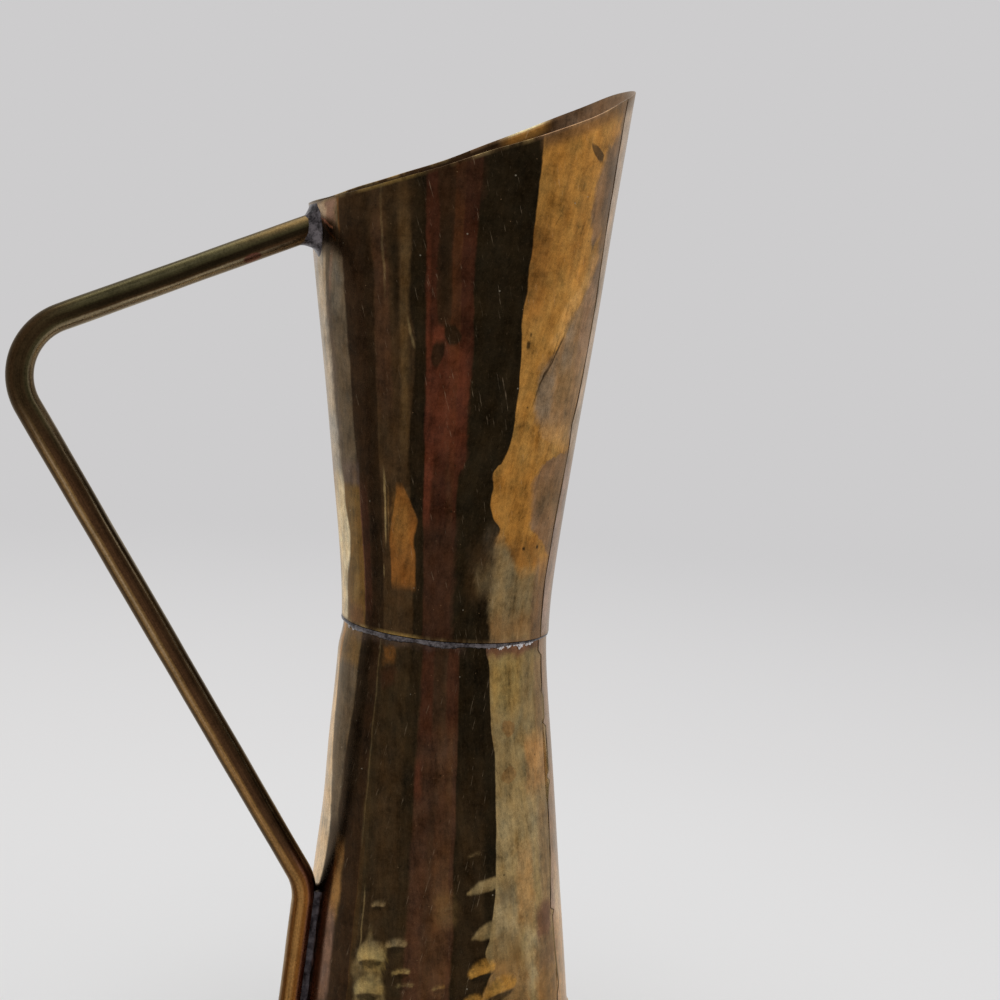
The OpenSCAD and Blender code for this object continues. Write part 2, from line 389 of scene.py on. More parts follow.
def make_lower_seam(material):
    """Lower seam's solder, from the collar's top to the base plate."""
    d = np.linspace(-LAP + 0.1, FOOT_DEPTH - 0.1, SEAM_ROWS)
    turns = lower_seam_turn(np.maximum(d, 0))
    boss, _, _ = boss_field(turns, d)
    return seam_strip("lower_seam", material, d, turns, lower_wall(turns, d) + boss, WAIST_H - d)


# Handle

def handle_corners():
    """Corners [x, z] of the rod's centre line: joint, grip corner, leg corner and leg end."""
    joint_h = float(rim_at(np.array([math.pi]))[0]) - JOINT_DROP
    joint = np.array([-upper_radius(joint_h), WAIST_H + joint_h])
    grip = np.array([-GRIP_REACH, joint[1] - GRIP_FALL])
    leg_r = [lower_radius(WAIST_H - h) for h in (LEG_CORNER_H, LEG_END_H)]
    lean = math.atan2(leg_r[1] - leg_r[0], LEG_CORNER_H - LEG_END_H)
    off = (ROD_R + LEG_GAP) / math.cos(lean)
    return joint, grip, np.array([-leg_r[0] - off, LEG_CORNER_H]), np.array([-leg_r[1] - off, LEG_END_H])


def bend_points(a, b, c, count):
    """Arc of the bend radius at corner b: it starts one setback before b and turns from a-b to b-c."""
    u, v = (b - a) / np.linalg.norm(b - a), (c - b) / np.linalg.norm(c - b)
    angle = math.atan2(u[0] * v[1] - u[1] * v[0], u @ v)
    begin = b - u * BEND_R * math.tan(abs(angle) / 2)
    side = np.array([-u[1], u[0]]) * math.copysign(1.0, angle)
    t = np.linspace(0, abs(angle), count)[:, None]
    return begin + BEND_R * (np.sin(t) * u + (1 - np.cos(t)) * side)


def handle_line():
    """Points [x, z] of the rod's centre line and their distance along it."""
    joint, grip, leg, end = handle_corners()
    first, second = bend_points(joint, grip, leg, 40), bend_points(grip, leg, end, 24)
    step = np.linspace(0, 1, 30)[:, None]
    line = np.concatenate([
        joint + (first[0] - joint) * step, first[1:],
        (first[-1] + (second[0] - first[-1]) * step)[1:], second[1:],
        (second[-1] + (end - second[-1]) * step)[1:],
    ])
    run = np.concatenate([[0], np.cumsum(np.linalg.norm(np.diff(line, axis=0), axis=1))])
    return line, run


def make_handle(material):
    """Round rod: a circle carried along the centre line. Its upper end is coped by sliding each point
    of the first circle along the rod until it lies in the wall; its lower end is filed round."""
    line, run = handle_line()
    tangent = np.gradient(line, axis=0)
    tangent /= np.linalg.norm(tangent, axis=1, keepdims=True)
    angle = np.linspace(0, 2 * math.pi, 40, endpoint=False)
    tip = np.array([0.0, 0.25, 0.55])
    tail = line[-1] + tangent[-1] * tip[:, None]
    centre = np.concatenate([line, tail[1:]])
    tangent = np.concatenate([tangent, np.repeat(tangent[-1:], 2, 0)])
    run = np.concatenate([run, run[-1] + tip[1:]])
    girth = ROD_R + 0.03 * np.sin(run / 9.0) + 0.02 * np.sin(run / 3.7)
    girth[-2:] = ROD_R - np.array([0.12, 0.6])
    out = np.stack([tangent[:, 1], -tangent[:, 0]], -1)
    out *= np.where(out[:, :1] > 0, -1.0, 1.0)
    rise, near = np.sin(angle)[:, None], np.cos(angle)[:, None]
    x = centre[:, 0] + girth * rise * out[:, 0]
    z = centre[:, 1] + girth * rise * out[:, 1]
    y = -girth * near + np.zeros_like(x)
    slide = np.zeros(len(angle))
    for _ in range(25):
        px, pz = x[:, 0] + slide * tangent[0, 0], z[:, 0] + slide * tangent[0, 1]
        slide -= 0.9 * (np.hypot(px, y[:, 0]) - (upper_radius(pz - WAIST_H) - 0.3))
    fade = np.clip(1 - run / 12.0, 0, 1)
    x += slide[:, None] * fade * tangent[0, 0]
    z += slide[:, None] * fade * tangent[0, 1]
    marks = {"crown": rise + np.zeros_like(x), "near": near + np.zeros_like(x), "run": run + np.zeros_like(x)}
    return add_piece("handle", np.stack([x, y, z], -1), material, marks)


# Solder

def lumps(azimuth, seed):
    """Unevenness of hand-run solder: a sum of sines of an angle with whole waves, between about -1 and 1."""
    return (
        0.4 * np.sin(5 * azimuth + seed) + 0.3 * np.sin(13 * azimuth + 2 * seed)
        + 0.2 * np.sin(29 * azimuth + 3 * seed) + 0.15 * np.sin(61 * azimuth + 5 * seed)
        + 0.12 * np.sin(113 * azimuth + 7 * seed)
    )


def make_waist_bead(material):
    """Bead along the waist: half an ellipse on a flat back in the wall, carried round the waist. It is
    full on the handle side, thin towards the spout, and lumpy all along its lower edge."""
    azimuth = np.linspace(0, 2 * math.pi, 900, endpoint=False)[None, :]
    s = np.linspace(-math.pi / 2, math.pi / 2, 15)[:, None]
    turn = (np.degrees(-azimuth) - SEAM_ANGLE) % 360.0
    full = 0.42 + 0.5 * ease(turn, 6, 76) * (1 - 0.4 * ease(turn, 104, 136)) * (1 - ease(turn, 250, 330))
    half_h = 1.15 * full * (1 + 0.2 * lumps(azimuth, 1.0))
    stand = 0.25 + 0.8 * full * (1 + 0.15 * lumps(azimuth, 2.0))
    sag = np.where(s < 0, 1 + 0.7 * lumps(azimuth, 4.0), 1.0)
    top = WAIST_H - 0.02 + lap_lift(turn)
    r = COLLAR_R - 0.25 + (stand + 0.25) * np.cos(s) ** 0.7
    z = top - half_h + half_h * np.sin(s) * sag
    points = np.stack([r * np.cos(azimuth), r * np.sin(azimuth), z], -1)
    return add_piece("waist_bead", points, material, ring=True)


def make_flux_crumbs(material):
    """White crumbs of dried flux under the bead: small balls with their radius rippled along two angles and
    a little flat at both poles, seated half in the wall, in clumps near the seam and a few by the handle."""
    draw = np.random.RandomState(11)
    by_seam, by_handle = 108, 16
    count = by_seam + by_handle
    turn = np.concatenate([draw.uniform(11.0, 45.0, by_seam), draw.uniform(124.0, 139.0, by_handle)])
    clump = 0.5 + 0.5 * np.sin(turn * 0.9)
    size = draw.uniform(0.2, 0.46, count) * (0.7 + 0.4 * clump) * np.where(turn < 60, 1.0, 0.75)
    depth = 0.7 + draw.uniform(0.0, 1.0, count) * (0.4 + 1.2 * clump) - lap_lift(turn)
    place = cone_points(turn, lower_radius(depth) + 0.25 * size, WAIST_H - depth)
    lon = np.linspace(0, 2 * math.pi, 12, endpoint=False)
    lat = np.radians(np.linspace(-76, 76, 7))
    lon, lat = np.meshgrid(lon, lat, indexing="ij")
    ball = np.stack([np.cos(lat) * np.cos(lon), np.cos(lat) * np.sin(lon), np.sin(lat)], -1)
    phase = draw.uniform(0, 6, (count, 1, 1))
    bumpy = 1 + 0.25 * np.sin(3 * lon + phase) * np.cos(lat) + 0.2 * np.sin(4 * lat + 2 * phase)
    points = place[:, None, None, :] + ball * (size[:, None, None] * bumpy)[..., None]
    return add_piece("flux_crumbs", points, material)


def make_joint_fillet(material):
    """Solder round the rod's upper joint: rings round the rod go from the wall to the rod on a hollow
    quarter ellipse. Its reach on the wall is long below and at the far top, and stops under the rim."""
    joint, grip, _, _ = handle_corners()
    axis = (grip - joint) / np.linalg.norm(grip - joint)
    s = np.linspace(0, 2 * math.pi, 72, endpoint=False)[:, None]
    t = np.linspace(0, 1, 16)[None, :]
    up = np.sin(s)
    uneven = 0.5 * np.sin(3 * s + 1) + 0.3 * np.sin(5 * s + 4)
    reach = 3.2 + 3.4 * np.clip(-up, 0, 1) ** 3 + 1.2 * np.clip(up, 0, 1) ** 2 + 0.3 * uneven
    reach = reach + 4.0 * np.clip(np.cos(s - math.radians(50)), 0, 1) ** 4
    climb = 6.6 - 1.2 * up + 0.3 * uneven
    ring = ROD_R - 0.25 + (reach + 0.25) * (1 - np.sin(t * math.pi / 2))
    lift = climb * (1 - np.cos(t * math.pi / 2))
    rough = 1 + (1 - t) * (0.03 * np.sin(7 * s + 9 * t) + 0.02 * np.sin(11 * s - 14 * t + 2))
    y = ring * rough * np.cos(s)
    z = joint[1] + ring * rough * up * 1.04
    cap = WAIST_H + rim_at(np.array([math.pi]))[0] - 0.35
    z = np.minimum(z, cap - 0.15 * t)
    wall = upper_radius(z - WAIST_H) - 0.15
    x = -np.sqrt(np.maximum(wall ** 2 - y ** 2, 1.0))
    x, z = x + lift * axis[0], z + lift * axis[1]
    points = np.stack([x, y, z], -1)
    return add_piece("joint_fillet", points, material)


def make_leg_fillets(material):
    """Solder in both grooves beside the leg: a hollow three-sided section, from the wall over a small arc
    to the rod and back behind it, carried down the leg. The two sides are one mesh."""
    _, _, leg, end = handle_corners()
    down = (end - leg) / np.linalg.norm(end - leg)
    begin = leg + down * 1.4
    length = np.linalg.norm(end - begin) - 1.8
    run = np.linspace(0, length, 120)[None, :]
    centre = begin[:, None] + down[:, None] * run
    inward = np.array([-down[1], down[0]])
    inward = inward if inward[0] > 0 else -inward
    side = np.array([-1.0, 1.0])[:, None, None]
    seed = 1.5 + 0.5 * side
    uneven = 1 + 0.10 * np.sin(run / 3.1 + seed) + 0.07 * np.sin(run / 1.3 + 2 * seed)
    ends = ease(run, -1.5, 1.5) * ease(length - run, 0, 2.5)
    width = (3.9 + 0.6 * ends) * uneven
    on_rod = np.radians(18 + 16 * ends * uneven)
    t = np.linspace(0, 1, 9)[:, None]
    hollow = 0.55 * np.sin(t * math.pi)
    across = ROD_R * np.cos(on_rod) * (1 - t) + width * t - 0.5 * hollow
    toward = ROD_R * np.sin(on_rod) * (1 - t) + (ROD_R + 0.35) * t + 0.6 * hollow
    across = np.concatenate([across, 0.35 * across[:, -1:]], 1)
    toward = np.concatenate([toward, toward[:, -1:]], 1)
    x, z = centre[0] + toward * inward[0], centre[1] + toward * inward[1]
    return add_piece("leg_fillets", np.stack([x, side * across, z], -1), material)


# Materials

class Val:
    """One socket of a material's nodes. Arithmetic on it adds Math nodes."""

    def __init__(self, finish, socket):
        self.finish, self.socket = finish, socket

    def math(self, operation, *values):
        return self.finish.node("Math", {"operation": operation}, dict(enumerate(values)))

    def __add__(self, other):
        return self.math("ADD", self, other)

    def __sub__(self, other):
        return self.math("SUBTRACT", self, other)

    def __rsub__(self, other):
        return self.math("SUBTRACT", other, self)

    def __mul__(self, other):
        return self.math("MULTIPLY", self, other)

    def __truediv__(self, other):
        return self.math("DIVIDE", self, other)

    __radd__ = __add__
    __rmul__ = __mul__

    def largest(self, other):
        return self.math("MAXIMUM", self, other)

    def above(self, level):
        return self.math("GREATER_THAN", self, level)

    def other(self, name):
        """Another output of the node that this value comes from."""
        return Val(self.finish, self.socket.node.outputs[name])


class Finish:
    """A material or the world being made of nodes."""

    def __init__(self, owner):
        owner.use_nodes = True
        self.owner = owner
        self.tree = owner.node_tree
        self.tree.nodes.clear()

    def node(self, kind, settings=None, sockets=None, output=0):
        """Adds one node: its type, its settings, then the values or links of its sockets."""
        made = self.tree.nodes.new("ShaderNode" + kind)
        for key, value in (settings or {}).items():
            if key == "stops":
                self.set_stops(made.color_ramp, *value)
            else:
                setattr(made, key, value)
        for key, value in (sockets or {}).items():
            if isinstance(value, Val):
                self.tree.links.new(value.socket, made.inputs[key])
            else:
                made.inputs[key].default_value = value
        return Val(self, made.outputs[output]) if len(made.outputs) else made

    @staticmethod
    def set_stops(ramp, joins, stops):
        ramp.interpolation = joins
        ramp.elements.remove(ramp.elements[1])
        for k, (place, colour) in enumerate(stops):
            element = ramp.elements[0] if k == 0 else ramp.elements.new(place)
            element.position = place
            element.color = colour

    def mark(self, name):
        """A value that the mesh carries at its points."""
        return self.node("Attribute", {"attribute_name": name}, output="Fac")

    def step(self, value, low, high, top=1.0):
        """Smooth step from 0 at low to a top at high, which needs no clamp."""
        settings = {"interpolation_type": "SMOOTHSTEP", "clamp": False}
        sockets = {"Value": value, "From Min": low, "From Max": high, "To Max": top}
        return self.node("MapRange", settings, sockets)

    def past(self, value, bound, soft, top=1.0):
        """Soft step at a bound, which is a number or another value. A softness below 0 steps down."""
        if isinstance(bound, Val):
            return self.step(value - bound, -soft, soft, top)
        return self.step(value, bound - soft, bound + soft, top)

    def within(self, value, low, high, soft):
        """Share that is 1 between low and high and ends softly."""
        return self.past(value, low, soft) * self.past(value, high, -soft)

    def along(self, value, knots):
        """Smooth curve through knots of value and result; a bare number stays one."""
        if not isinstance(knots, (list, tuple)):
            return knots
        places, results = (np.array(column, dtype=float) for column in zip(*knots))
        low, high, least = places[0], places[-1], results.min()
        reach = np.ptp(results) or 1.0
        shares = (results - least) / reach
        stops = [(place, (share,) * 4) for place, share in zip((places - low) / (high - low), shares)]
        part = self.node("MapRange", {"clamp": False}, {"Value": value, "From Min": low, "From Max": high})
        ramp = self.node("ValToRGB", {"stops": ("CARDINAL", stops)}, {"Fac": part}, "Alpha")
        return ramp.math("MULTIPLY_ADD", ramp, reach, least)

    def bands(self, value, tones):
        """Colour that runs through tones by a value between -1 and 1."""
        stops = [(place * 0.5 + 0.5, tone(name)) for place, name in tones]
        return self.node("ValToRGB", {"stops": ("LINEAR", stops)}, {"Fac": value * 0.5 + 0.5})

    def vector(self, x, y, z=0.0):
        return self.node("CombineXYZ", None, {"X": x, "Y": y, "Z": z})

    def noise(self, vector, scale, detail=2.0, roughness=0.5):
        """Noise about a middle of 0."""
        sockets = {"Vector": vector, "Scale": scale, "Detail": detail, "Roughness": roughness}
        return self.node("TexNoise", None, sockets) - 0.5

    def dots(self, vector, scale, radius, share):
        """Small round dots of a radius, in a share of the cells of a lattice of this scale."""
        cells = self.node("TexVoronoi", None, {"Vector": vector, "Scale": scale})
        pick = self.node("SeparateColor", None, {"Color": cells.other("Color")})
        size = radius * scale
        return self.step(cells, size, size * 0.55) * (1 - pick.above(share))

    def mix(self, share, first, second, blend="MIX"):
        """Colour between two colours, by the share of the second."""
        settings = {"data_type": "RGBA", "blend_type": blend}
        return self.node("Mix", settings, {0: share, 6: first, 7: second}, output=2)

    def shade(self, colour, red, green, blue):
        """Colour multiplied by a factor on each channel."""
        return self.mix(1.0, colour, self.vector(red, green, blue), "MULTIPLY")

    def place(self):
        return self.node("TexCoord", output="Object")

    def bump(self, height, strength, distance):
        return self.node("Bump", None, {"Height": height, "Strength": strength, "Distance": distance})

    def surface(self, **sockets):
        """Ends the material in a Principled shader with these sockets."""
        shader = self.node("BsdfPrincipled", None, {k.replace("_", " "): v for k, v in sockets.items()})
        self.node("OutputMaterial", None, {"Surface": shader})
        return self.owner


def linear(red, green, blue, level=1.0):
    """Linear colour with alpha, from the 0 to 255 of a paint chart, at a level."""
    share = np.array([red, green, blue]) / 255.0
    value = np.where(share <= 0.04045, share / 12.92, ((share + 0.055) / 1.055) ** 2.4)
    return tuple(np.minimum(value / level, 1.0)) + (1.0,)


TONES = {
    "ochre": (150, 107, 51),
    "deep_gold": (138, 95, 42),
    "light_bronze": (154, 112, 50),
    "light_gold": (178, 134, 76),
    "glint": (228, 200, 148),
    "amber": (108, 68, 30),
    "straw": (124, 104, 68),
    "chalk": (148, 130, 96),
    "pale_straw": (142, 121, 76),
    "yellow_olive": (138, 111, 60),
    "pale_orange": (152, 111, 66),
    "cream": (204, 186, 150),
    "tan": (192, 168, 136),
    "blush": (164, 147, 132),
    "rose_tan": (133, 109, 93),
    "pale_grey": (168, 160, 146),
    "lilac_grey": (168, 156, 152),
    "dove": (140, 121, 112),
    "salmon": (196, 132, 104),
    "mauve": (130, 101, 71),
    "stone": (112, 85, 61),
    "taupe": (78, 63, 54),
    "blue_grey": (108, 95, 78),
    "grey_brown": (132, 104, 74),
    "olive_grey": (112, 94, 64),
    "olive_tan": (112, 91, 57),
    "bronze": (100, 76, 44),
    "dull_lip": (94, 66, 39),
    "toffee": (92, 66, 30),
    "sage": (82, 68, 51),
    "umber": (54, 39, 23),
    "bistre": (45, 34, 20),
    "brown": (43, 29, 17),
    "red_brown": (52, 28, 17),
    "near_black": (30, 23, 13),
    "oxblood": (54, 29, 18),
    "copper": (82, 42, 27),
    "russet": (64, 42, 28),
    "dusk": (50, 32, 21),
    "plum": (84, 50, 40),
    "pink_brown": (128, 98, 80),
    "pewter": (128, 120, 104),
    "pale_rod": (122, 108, 84),
    "olive": (56, 51, 32),
    "light_olive": (72, 67, 46),
    "worn_and_lit_rod": (130, 109, 82),
    "chestnut": (62, 42, 26),
    "pink_brass": (130, 88, 67),
    "orange_brass": (128, 92, 50),
    "rust": (82, 50, 20),
}


def tone(name):
    return linear(*TONES[name], level=MIRRORED_LIGHT)


# Stains and painted light of the sheets. The bands are partly tarnish and partly painted reflections: the
# dark ones stand for a dark room mirrored in the brass, the light ones for bright surroundings, and the pale
# strips at both outlines for the pale backdrop mirrored at a grazing angle; a few rows are painted shadows
# and painted highlights.
# Columns: tone, strength, softness in degrees, first and last edge in degrees from the seam (a number, or
# knots of height and turn), lowest and highest height (a number, or knots of turn and height), and how softly
# it ends, in millimetres. Stains softer than BLOTCH_SOFT have ragged, brushed outlines.
# Edges on the far side of the outline, LEFT_ROUND and RIGHT_ROUND, fade out over FADE_ROUND degrees each way.
BLOTCH_SOFT = 1.5
LOWEST, HIGHEST = -20, 200
LEFT_ROUND, RIGHT_ROUND, FADE_ROUND = 178, -46, 26
GOLD_EDGE = [
    (0, 43), (8, 44.4), (16, 47), (24, 49), (30, 46.6), (33, 44.4), (36, 42.6), (38.4, 45.6), (42.4, 48),
    (46, 48.4), (49, 47.8), (53.6, 49), (56.5, 45.4), (60, 43.6), (65, 41.6), (76, 41.2), (86, 41.3),
    (95, 42.1), (100, 42.4), (110, 41.6), (125, 41.1), (140, 41.5), (180, 41.6),
]
GREY_SLANT = [
    (58, 3), (63, 22), (68, 28), (74, 30.4), (80, 30.2), (86, 27.4), (91, 23.2), (97, 18.6), (103, 13.8),
    (110, 9.3), (115, 5.4), (119, -1), (126, -4),
]
STONE_EDGE = [
    (22, 1), (26, 5), (31, 14), (35, 22.5), (40, 27), (44, 29.2), (48, 28.6), (53, 24.8), (57, 19), (60, 2),
]
OLIVE_EDGE = [
    (0, 84.4), (45, 86), (66, 86), (80, 84.5), (91, 84), (97, 85), (105, 86.5), (122, 86.2), (137, 86.8),
    (180, 86.5),
]
TAN_EDGE = [
    (0, 133.5), (14, 133.4), (20, 130.2), (27, 127.4), (34, 128), (40, 130.2), (46, 129.6), (52, 131),
]
UPPER_STAINS_AND_PAINTED_LIGHT = (
    ("ochre", 1.0, 0.3, -9, GOLD_EDGE, LOWEST, HIGHEST, 5),
    ("deep_gold", 0.55, 5.0, 14, 46, 116, HIGHEST, 12),
    ("amber", 0.55, 2.5, 33, 44, 100, 128, 6),
    ("amber", 0.3, 1.6, 20.6, 23, 108, 150, 10),
    ("amber", 0.3, 1.6, 28, 30.6, 98, 150, 12),
    ("light_gold", 0.6, 1.6, [(90, 24), (97, 19), (110, 9), (120, 1)],
     [(90, 29), (97, 25), (110, 16), (120, 7), (128, 1)], 92, 126, 3),
    ("mauve", 0.9, 1.6, -4, GREY_SLANT, 63, 121, 3),
    ("pink_brown", 0.4, 2.0, -3, 9, 88, 118, 7),
    ("blue_grey", 0.6, 1.6, 13, 19.5, 85, 99, 4),
    ("blue_grey", 0.6, 1.6, 22, 31, 71, 86, 4),
    ("bronze", 0.5, 1.8, 9, 21, 74, 86, 4),
    ("umber", 0.85, 0.35, [(80, 29.6), (97, 19.2)], [(80, 30.7), (97, 20)], 80, 96, 3),
    ("umber", 0.7, 0.3, [(72, 33), (97, 22.4)], [(72, 33.6), (97, 22.9)], 74, 94, 4),
    ("stone", 0.9, 1.6, -3,
     [(120, 9), (124, 11), (131, 14.4), (135, 15), (139, 13.6), (148, 12.4), (153, 9), (158, 3)],
     [(-4, 133), (1, 133), (5, 129), (11, 122), (16, 130)], 157, 2.5),
    ("taupe", 0.5, 1.8, 0, 8, 133, 152, 5),
    ("taupe", 0.7, 1.6, -3, [(112, 4), (128, 5), (140, 2), (168, 1)], 113, 168, 4),
    ("stone", 0.95, 1.6, 0, STONE_EDGE, 24, 59.5, 1.5),
    ("bronze", 0.35, 2.0, 4, 24, 40, 50, 4),
    ("light_gold", 0.4, 1.8, 5, 27, 59, 68, 3),
    ("deep_gold", 0.85, 2.5, 26, 52, 28, 57, 6),
    ("amber", 0.55, 2.0, 14, 38, 22, 32, 4),
    ("umber", 0.45, 1.8, 31, 40, 22, 30, 3),
    ("olive_grey", 0.95, 1.6, 12, 60, LOWEST, [(0, 22), (30, 22), (40, 33), (60, 33)], 3),
    ("stone", 0.7, 1.8, 2, 16, LOWEST, 24, 4),
    ("taupe", 0.5, 1.8, 4, 12, LOWEST, 17, 4),
    ("amber", 0.4, 1.8, 13, 46, 0, 8, 3),
    # Painted reflection: pale strips towards the right outline, where the brass mirrors the pale backdrop at
    # a grazing angle.
    ("dove", 0.9, 0.6, RIGHT_ROUND, UPPER_SEAM, LOWEST, 58, 4),
    ("blush", 0.9, 0.6, RIGHT_ROUND, UPPER_SEAM, 58, HIGHEST, 4),
    ("near_black", 1.0, 0.4, GOLD_EDGE, 66.6, 33, HIGHEST, 4),
    ("near_black", 1.0, 1.8, GOLD_EDGE, 68, LOWEST, 38, 3),
    ("sage", 0.5, 2.5, 43, 50, 26, 36, 3),
    ("umber", 0.8, 3.0, 44, 58, 13, 31, 5),
    ("olive_grey", 0.35, 2.0, 46, 54, 16, 24, 3),
    ("oxblood", 0.95, 0.6, [(0, 65.2), (52, 65.2), (57, 62), (95, 61.6), (180, 61.5)], 80.4, LOWEST,
     HIGHEST, 5),
    ("dusk", 0.6, 1.6, 61, 70, 133, HIGHEST, 5),
    ("brown", 0.85, 0.6, [(96, 70.5), (104, 69.8), (118, 70.2), (136, 70), (180, 69.6)],
     [(96, 74.6), (103, 76.2), (113, 75.6), (128, 75.2), (136, 75.8), (180, 76.4)], 97, HIGHEST, 2),
    ("near_black", 0.6, 1.2, 70.6, 74.6, 100, 128, 8),
    ("copper", 0.6, 2.0, 62, 80, 58, 92, 8),
    ("near_black", 0.85, 0.5, [(91, 67.4), (94, 66.2), (97, 68)], [(91, 71), (94, 72.4), (97, 72.6)], 91.4, 97.4,
     0.8),
    ("copper", 0.7, 0.6, 72.6, 77.4, 91.4, 96.6, 1),
    ("near_black", 0.8, 0.6, [(84, 75.5), (88, 73.5), (93, 72.4)], [(84, 77), (88, 78), (93, 76)], 84.4, 92.4,
     1.2),
    ("copper", 0.5, 0.6, 78.2, 80.2, 64, 124, 8),
    ("copper", 0.8, 0.8, [(30, 79.4), (38, 76.8), (68, 75.4)], 80.2, 36, 66, 5),
    ("dusk", 0.8, 1.8, 64, 80.4, LOWEST, 38, 6),
    ("near_black", 0.95, 0.6, 79.8, 88, LOWEST, HIGHEST, 5),
    ("umber", 0.95, 0.7, OLIVE_EDGE, 102.6, LOWEST, HIGHEST, 5),
    ("bronze", 0.35, 1.2, 86.4, 90.2, 62, 138, 12),
    ("near_black", 0.6, 1.2, 90.6, [(98, 93), (145, 95.5)], 98, 146, 8),
    ("russet", 0.65, 1.2, [(74, 94), (104, 95), (135, 96.4)], 101.8, 72, 134, 8),
    ("straw", 0.3, 0.35, 96.4, 97.4, 108, 138, 8),
    ("straw", 0.4, 0.35, [(90, 83.8), (94, 85.2), (100, 86.4)], [(90, 84.5), (94, 86), (100, 87.2)], 90.5,
     99, 1.5),
    ("amber", 0.95, 0.6,
     [(16, 83.4), (27, 83.6), (32, 84.3), (37.6, 82.4), (41.5, 84.4), (45, 87), (50, 90)],
     [(16, 97.4), (33, 97.4), (39, 95.8), (50, 93)], 17, 48, 2),
    ("ochre", 0.25, 1.6, 87.2, 95.6, 30, 45, 5),
    ("straw", 0.8, 0.3, 99.3, 100.3, 31, 51, 4),
    ("bronze", 0.6, 0.3, 97.9, 98.7, 33, 48, 4),
    ("straw", 0.6, 0.3, 101, 101.6, 19.5, 23, 1),
    ("brown", 1.0, 0.5, 101.8, 117, LOWEST, HIGHEST, 5),
    ("near_black", 0.4, 1.2, 102, 106, LOWEST, HIGHEST, 5),
    ("red_brown", 0.8, 1.2, 109.5, 115.2, 6, 47, 5),
    ("sage", 0.95, 0.6, 116.6, 133, 50, [(116, 118), (121, 122), (133, 121)], 3),
    ("pewter", 0.25, 2.0, 118, 127, 100, 121, 6),
    ("taupe", 0.5, 2.5, 127.6, 133.4, 56, 110, 8),
    # Painted reflection, partly tarnish: pale strips towards the left outline, where the brass mirrors the
    # pale backdrop.
    ("pale_grey", 0.85, 3.4, 133, LEFT_ROUND,
     [(128, 50), (142, 47), (152, 51), (164, 38), (176, 47), (200, 36)], HIGHEST, 8),
    ("tan", 0.4, 3.0, 132.6, 140, 66, 114, 8),
    ("pink_brown", 0.6, 1.2, [(104, 127), (124, 121)], [(104, 128.6), (124, 123)], 104, 120, 5),
    ("tan", 0.6, 1.0, [(100, 133), (122, 127)], [(100, 134.6), (122, 129.4)], 100, 119, 5),
    ("taupe", 0.8, 1.2, 115, 130.5, 46, 54, 2),
    ("toffee", 1.0, 0.6, 115, TAN_EDGE, LOWEST, 46.5, 1.5),
    ("olive_tan", 0.3, 1.4, 120, 127, 8, 44, 5),
    ("plum", 0.4, 1.8, 116, 131, LOWEST, 8, 3),
    ("plum", 0.5, 0.35, 114.5, 115.4, 6, 46, 4),
    # Painted reflection, partly tarnish: the pale strip at the left outline below the golden band.
    ("cream", 0.85, 1.2, TAN_EDGE, LEFT_ROUND, LOWEST,
     [(128, 47), (142, 48), (152, 44), (162, 54), (174, 43), (190, 52)], 6),
    ("umber", 0.6, 4.0, 84, 118, 124, HIGHEST, 8),
    # Painted shadow: a diagonal dark brown band on the wall under the handle's joint.
    ("brown", 0.9, 1.4, [(116, 110), (121, 114), (128, 120)], 132, 117, 128, 2),
    ("pink_brown", 0.8, 1.8, 119, 142, 127, HIGHEST, 2.5),
    ("tan", 0.6, 1.6, 126, 142, 128, HIGHEST, 3),
    # Painted reflection, partly tarnish: the pale strip at the left outline near the rim.
    ("lilac_grey", 0.7, 1.6, 139, LEFT_ROUND, 114, HIGHEST, 3),
    # Painted highlight: a thin salmon streak on the wall beside the handle's joint.
    ("salmon", 0.85, 0.3, 121.5, 131.5, [(121, 124.6), (126, 126), (132, 127.4)],
     [(121, 125.2), (126, 127), (132, 128.8)], 0.35),
    ("rust", 0.9, 0.5, [(121, 119.5), (124, 124), (127, 128)], [(121, 120.5), (124, 126), (127, 130)], 121,
     127.6, 0.6),
    ("umber", 0.85, 0.5, [(147, 13), (150, 12.6), (153, 19)], [(147, 13.6), (150, 18.6), (153, 20.6)], 148,
     152.4, 0.6),
    ("near_black", 0.85, 0.4, 37.6, 39.2, 91, 93.4, 0.7),
    ("near_black", 0.8, 0.3, 37.4, 38.2, 94.8, 96, 0.5),
    ("near_black", 0.9, 0.3, 16.8, 18.4, 29.1, 30.2, 0.4),
    ("near_black", 0.9, 0.3, 26.8, 28.5, 28.9, 29.9, 0.4),
)

STRAW_EDGE = [
    (0, 44.4), (3, 44.2), (6, 42.8), (11, 41.8), (27, 41.3), (34, 39.8), (41, 39.2), (55, 39.1), (70, 39.4),
    (77, 40.2), (82, 40.5), (86, 41.5), (90, 42.8), (94, 43.4), (97, 44.8), (100, 43.8), (104, 42.4),
    (109, 45), (116, 47), (200, 46),
]
DARK_EDGE = [(0, 119), (24, 119.4), (38, 120.8), (50, 122), (58, 123.8), (66, 123), (90, 122.4), (200, 122)]
PALE_EDGE = [
    (4, 145), (12, 142), (24, 139.6), (32, 137.6), (38, 135.6), (44, 134.4), (50, 133.6), (56, 132.8),
    (62, 131.4), (68, 130.4), (76, 131.4), (84, 134.4), (90, 138),
]
OVAL_FIRST = [(25, 33), (26, 28.6), (28, 26.6), (30, 28), (31, 31)]
OVAL_LAST = [(25, 33.4), (26, 34.6), (28, 34.8), (30, 32.6), (31, 31.4)]
LOW_OVAL_FIRST = [(39.6, 30), (41, 27), (43, 26), (44.6, 28.6), (45.4, 31)]
LOW_OVAL_LAST = [(39.6, 31), (41, 34), (43, 35.4), (44.6, 34), (45.4, 31.4)]
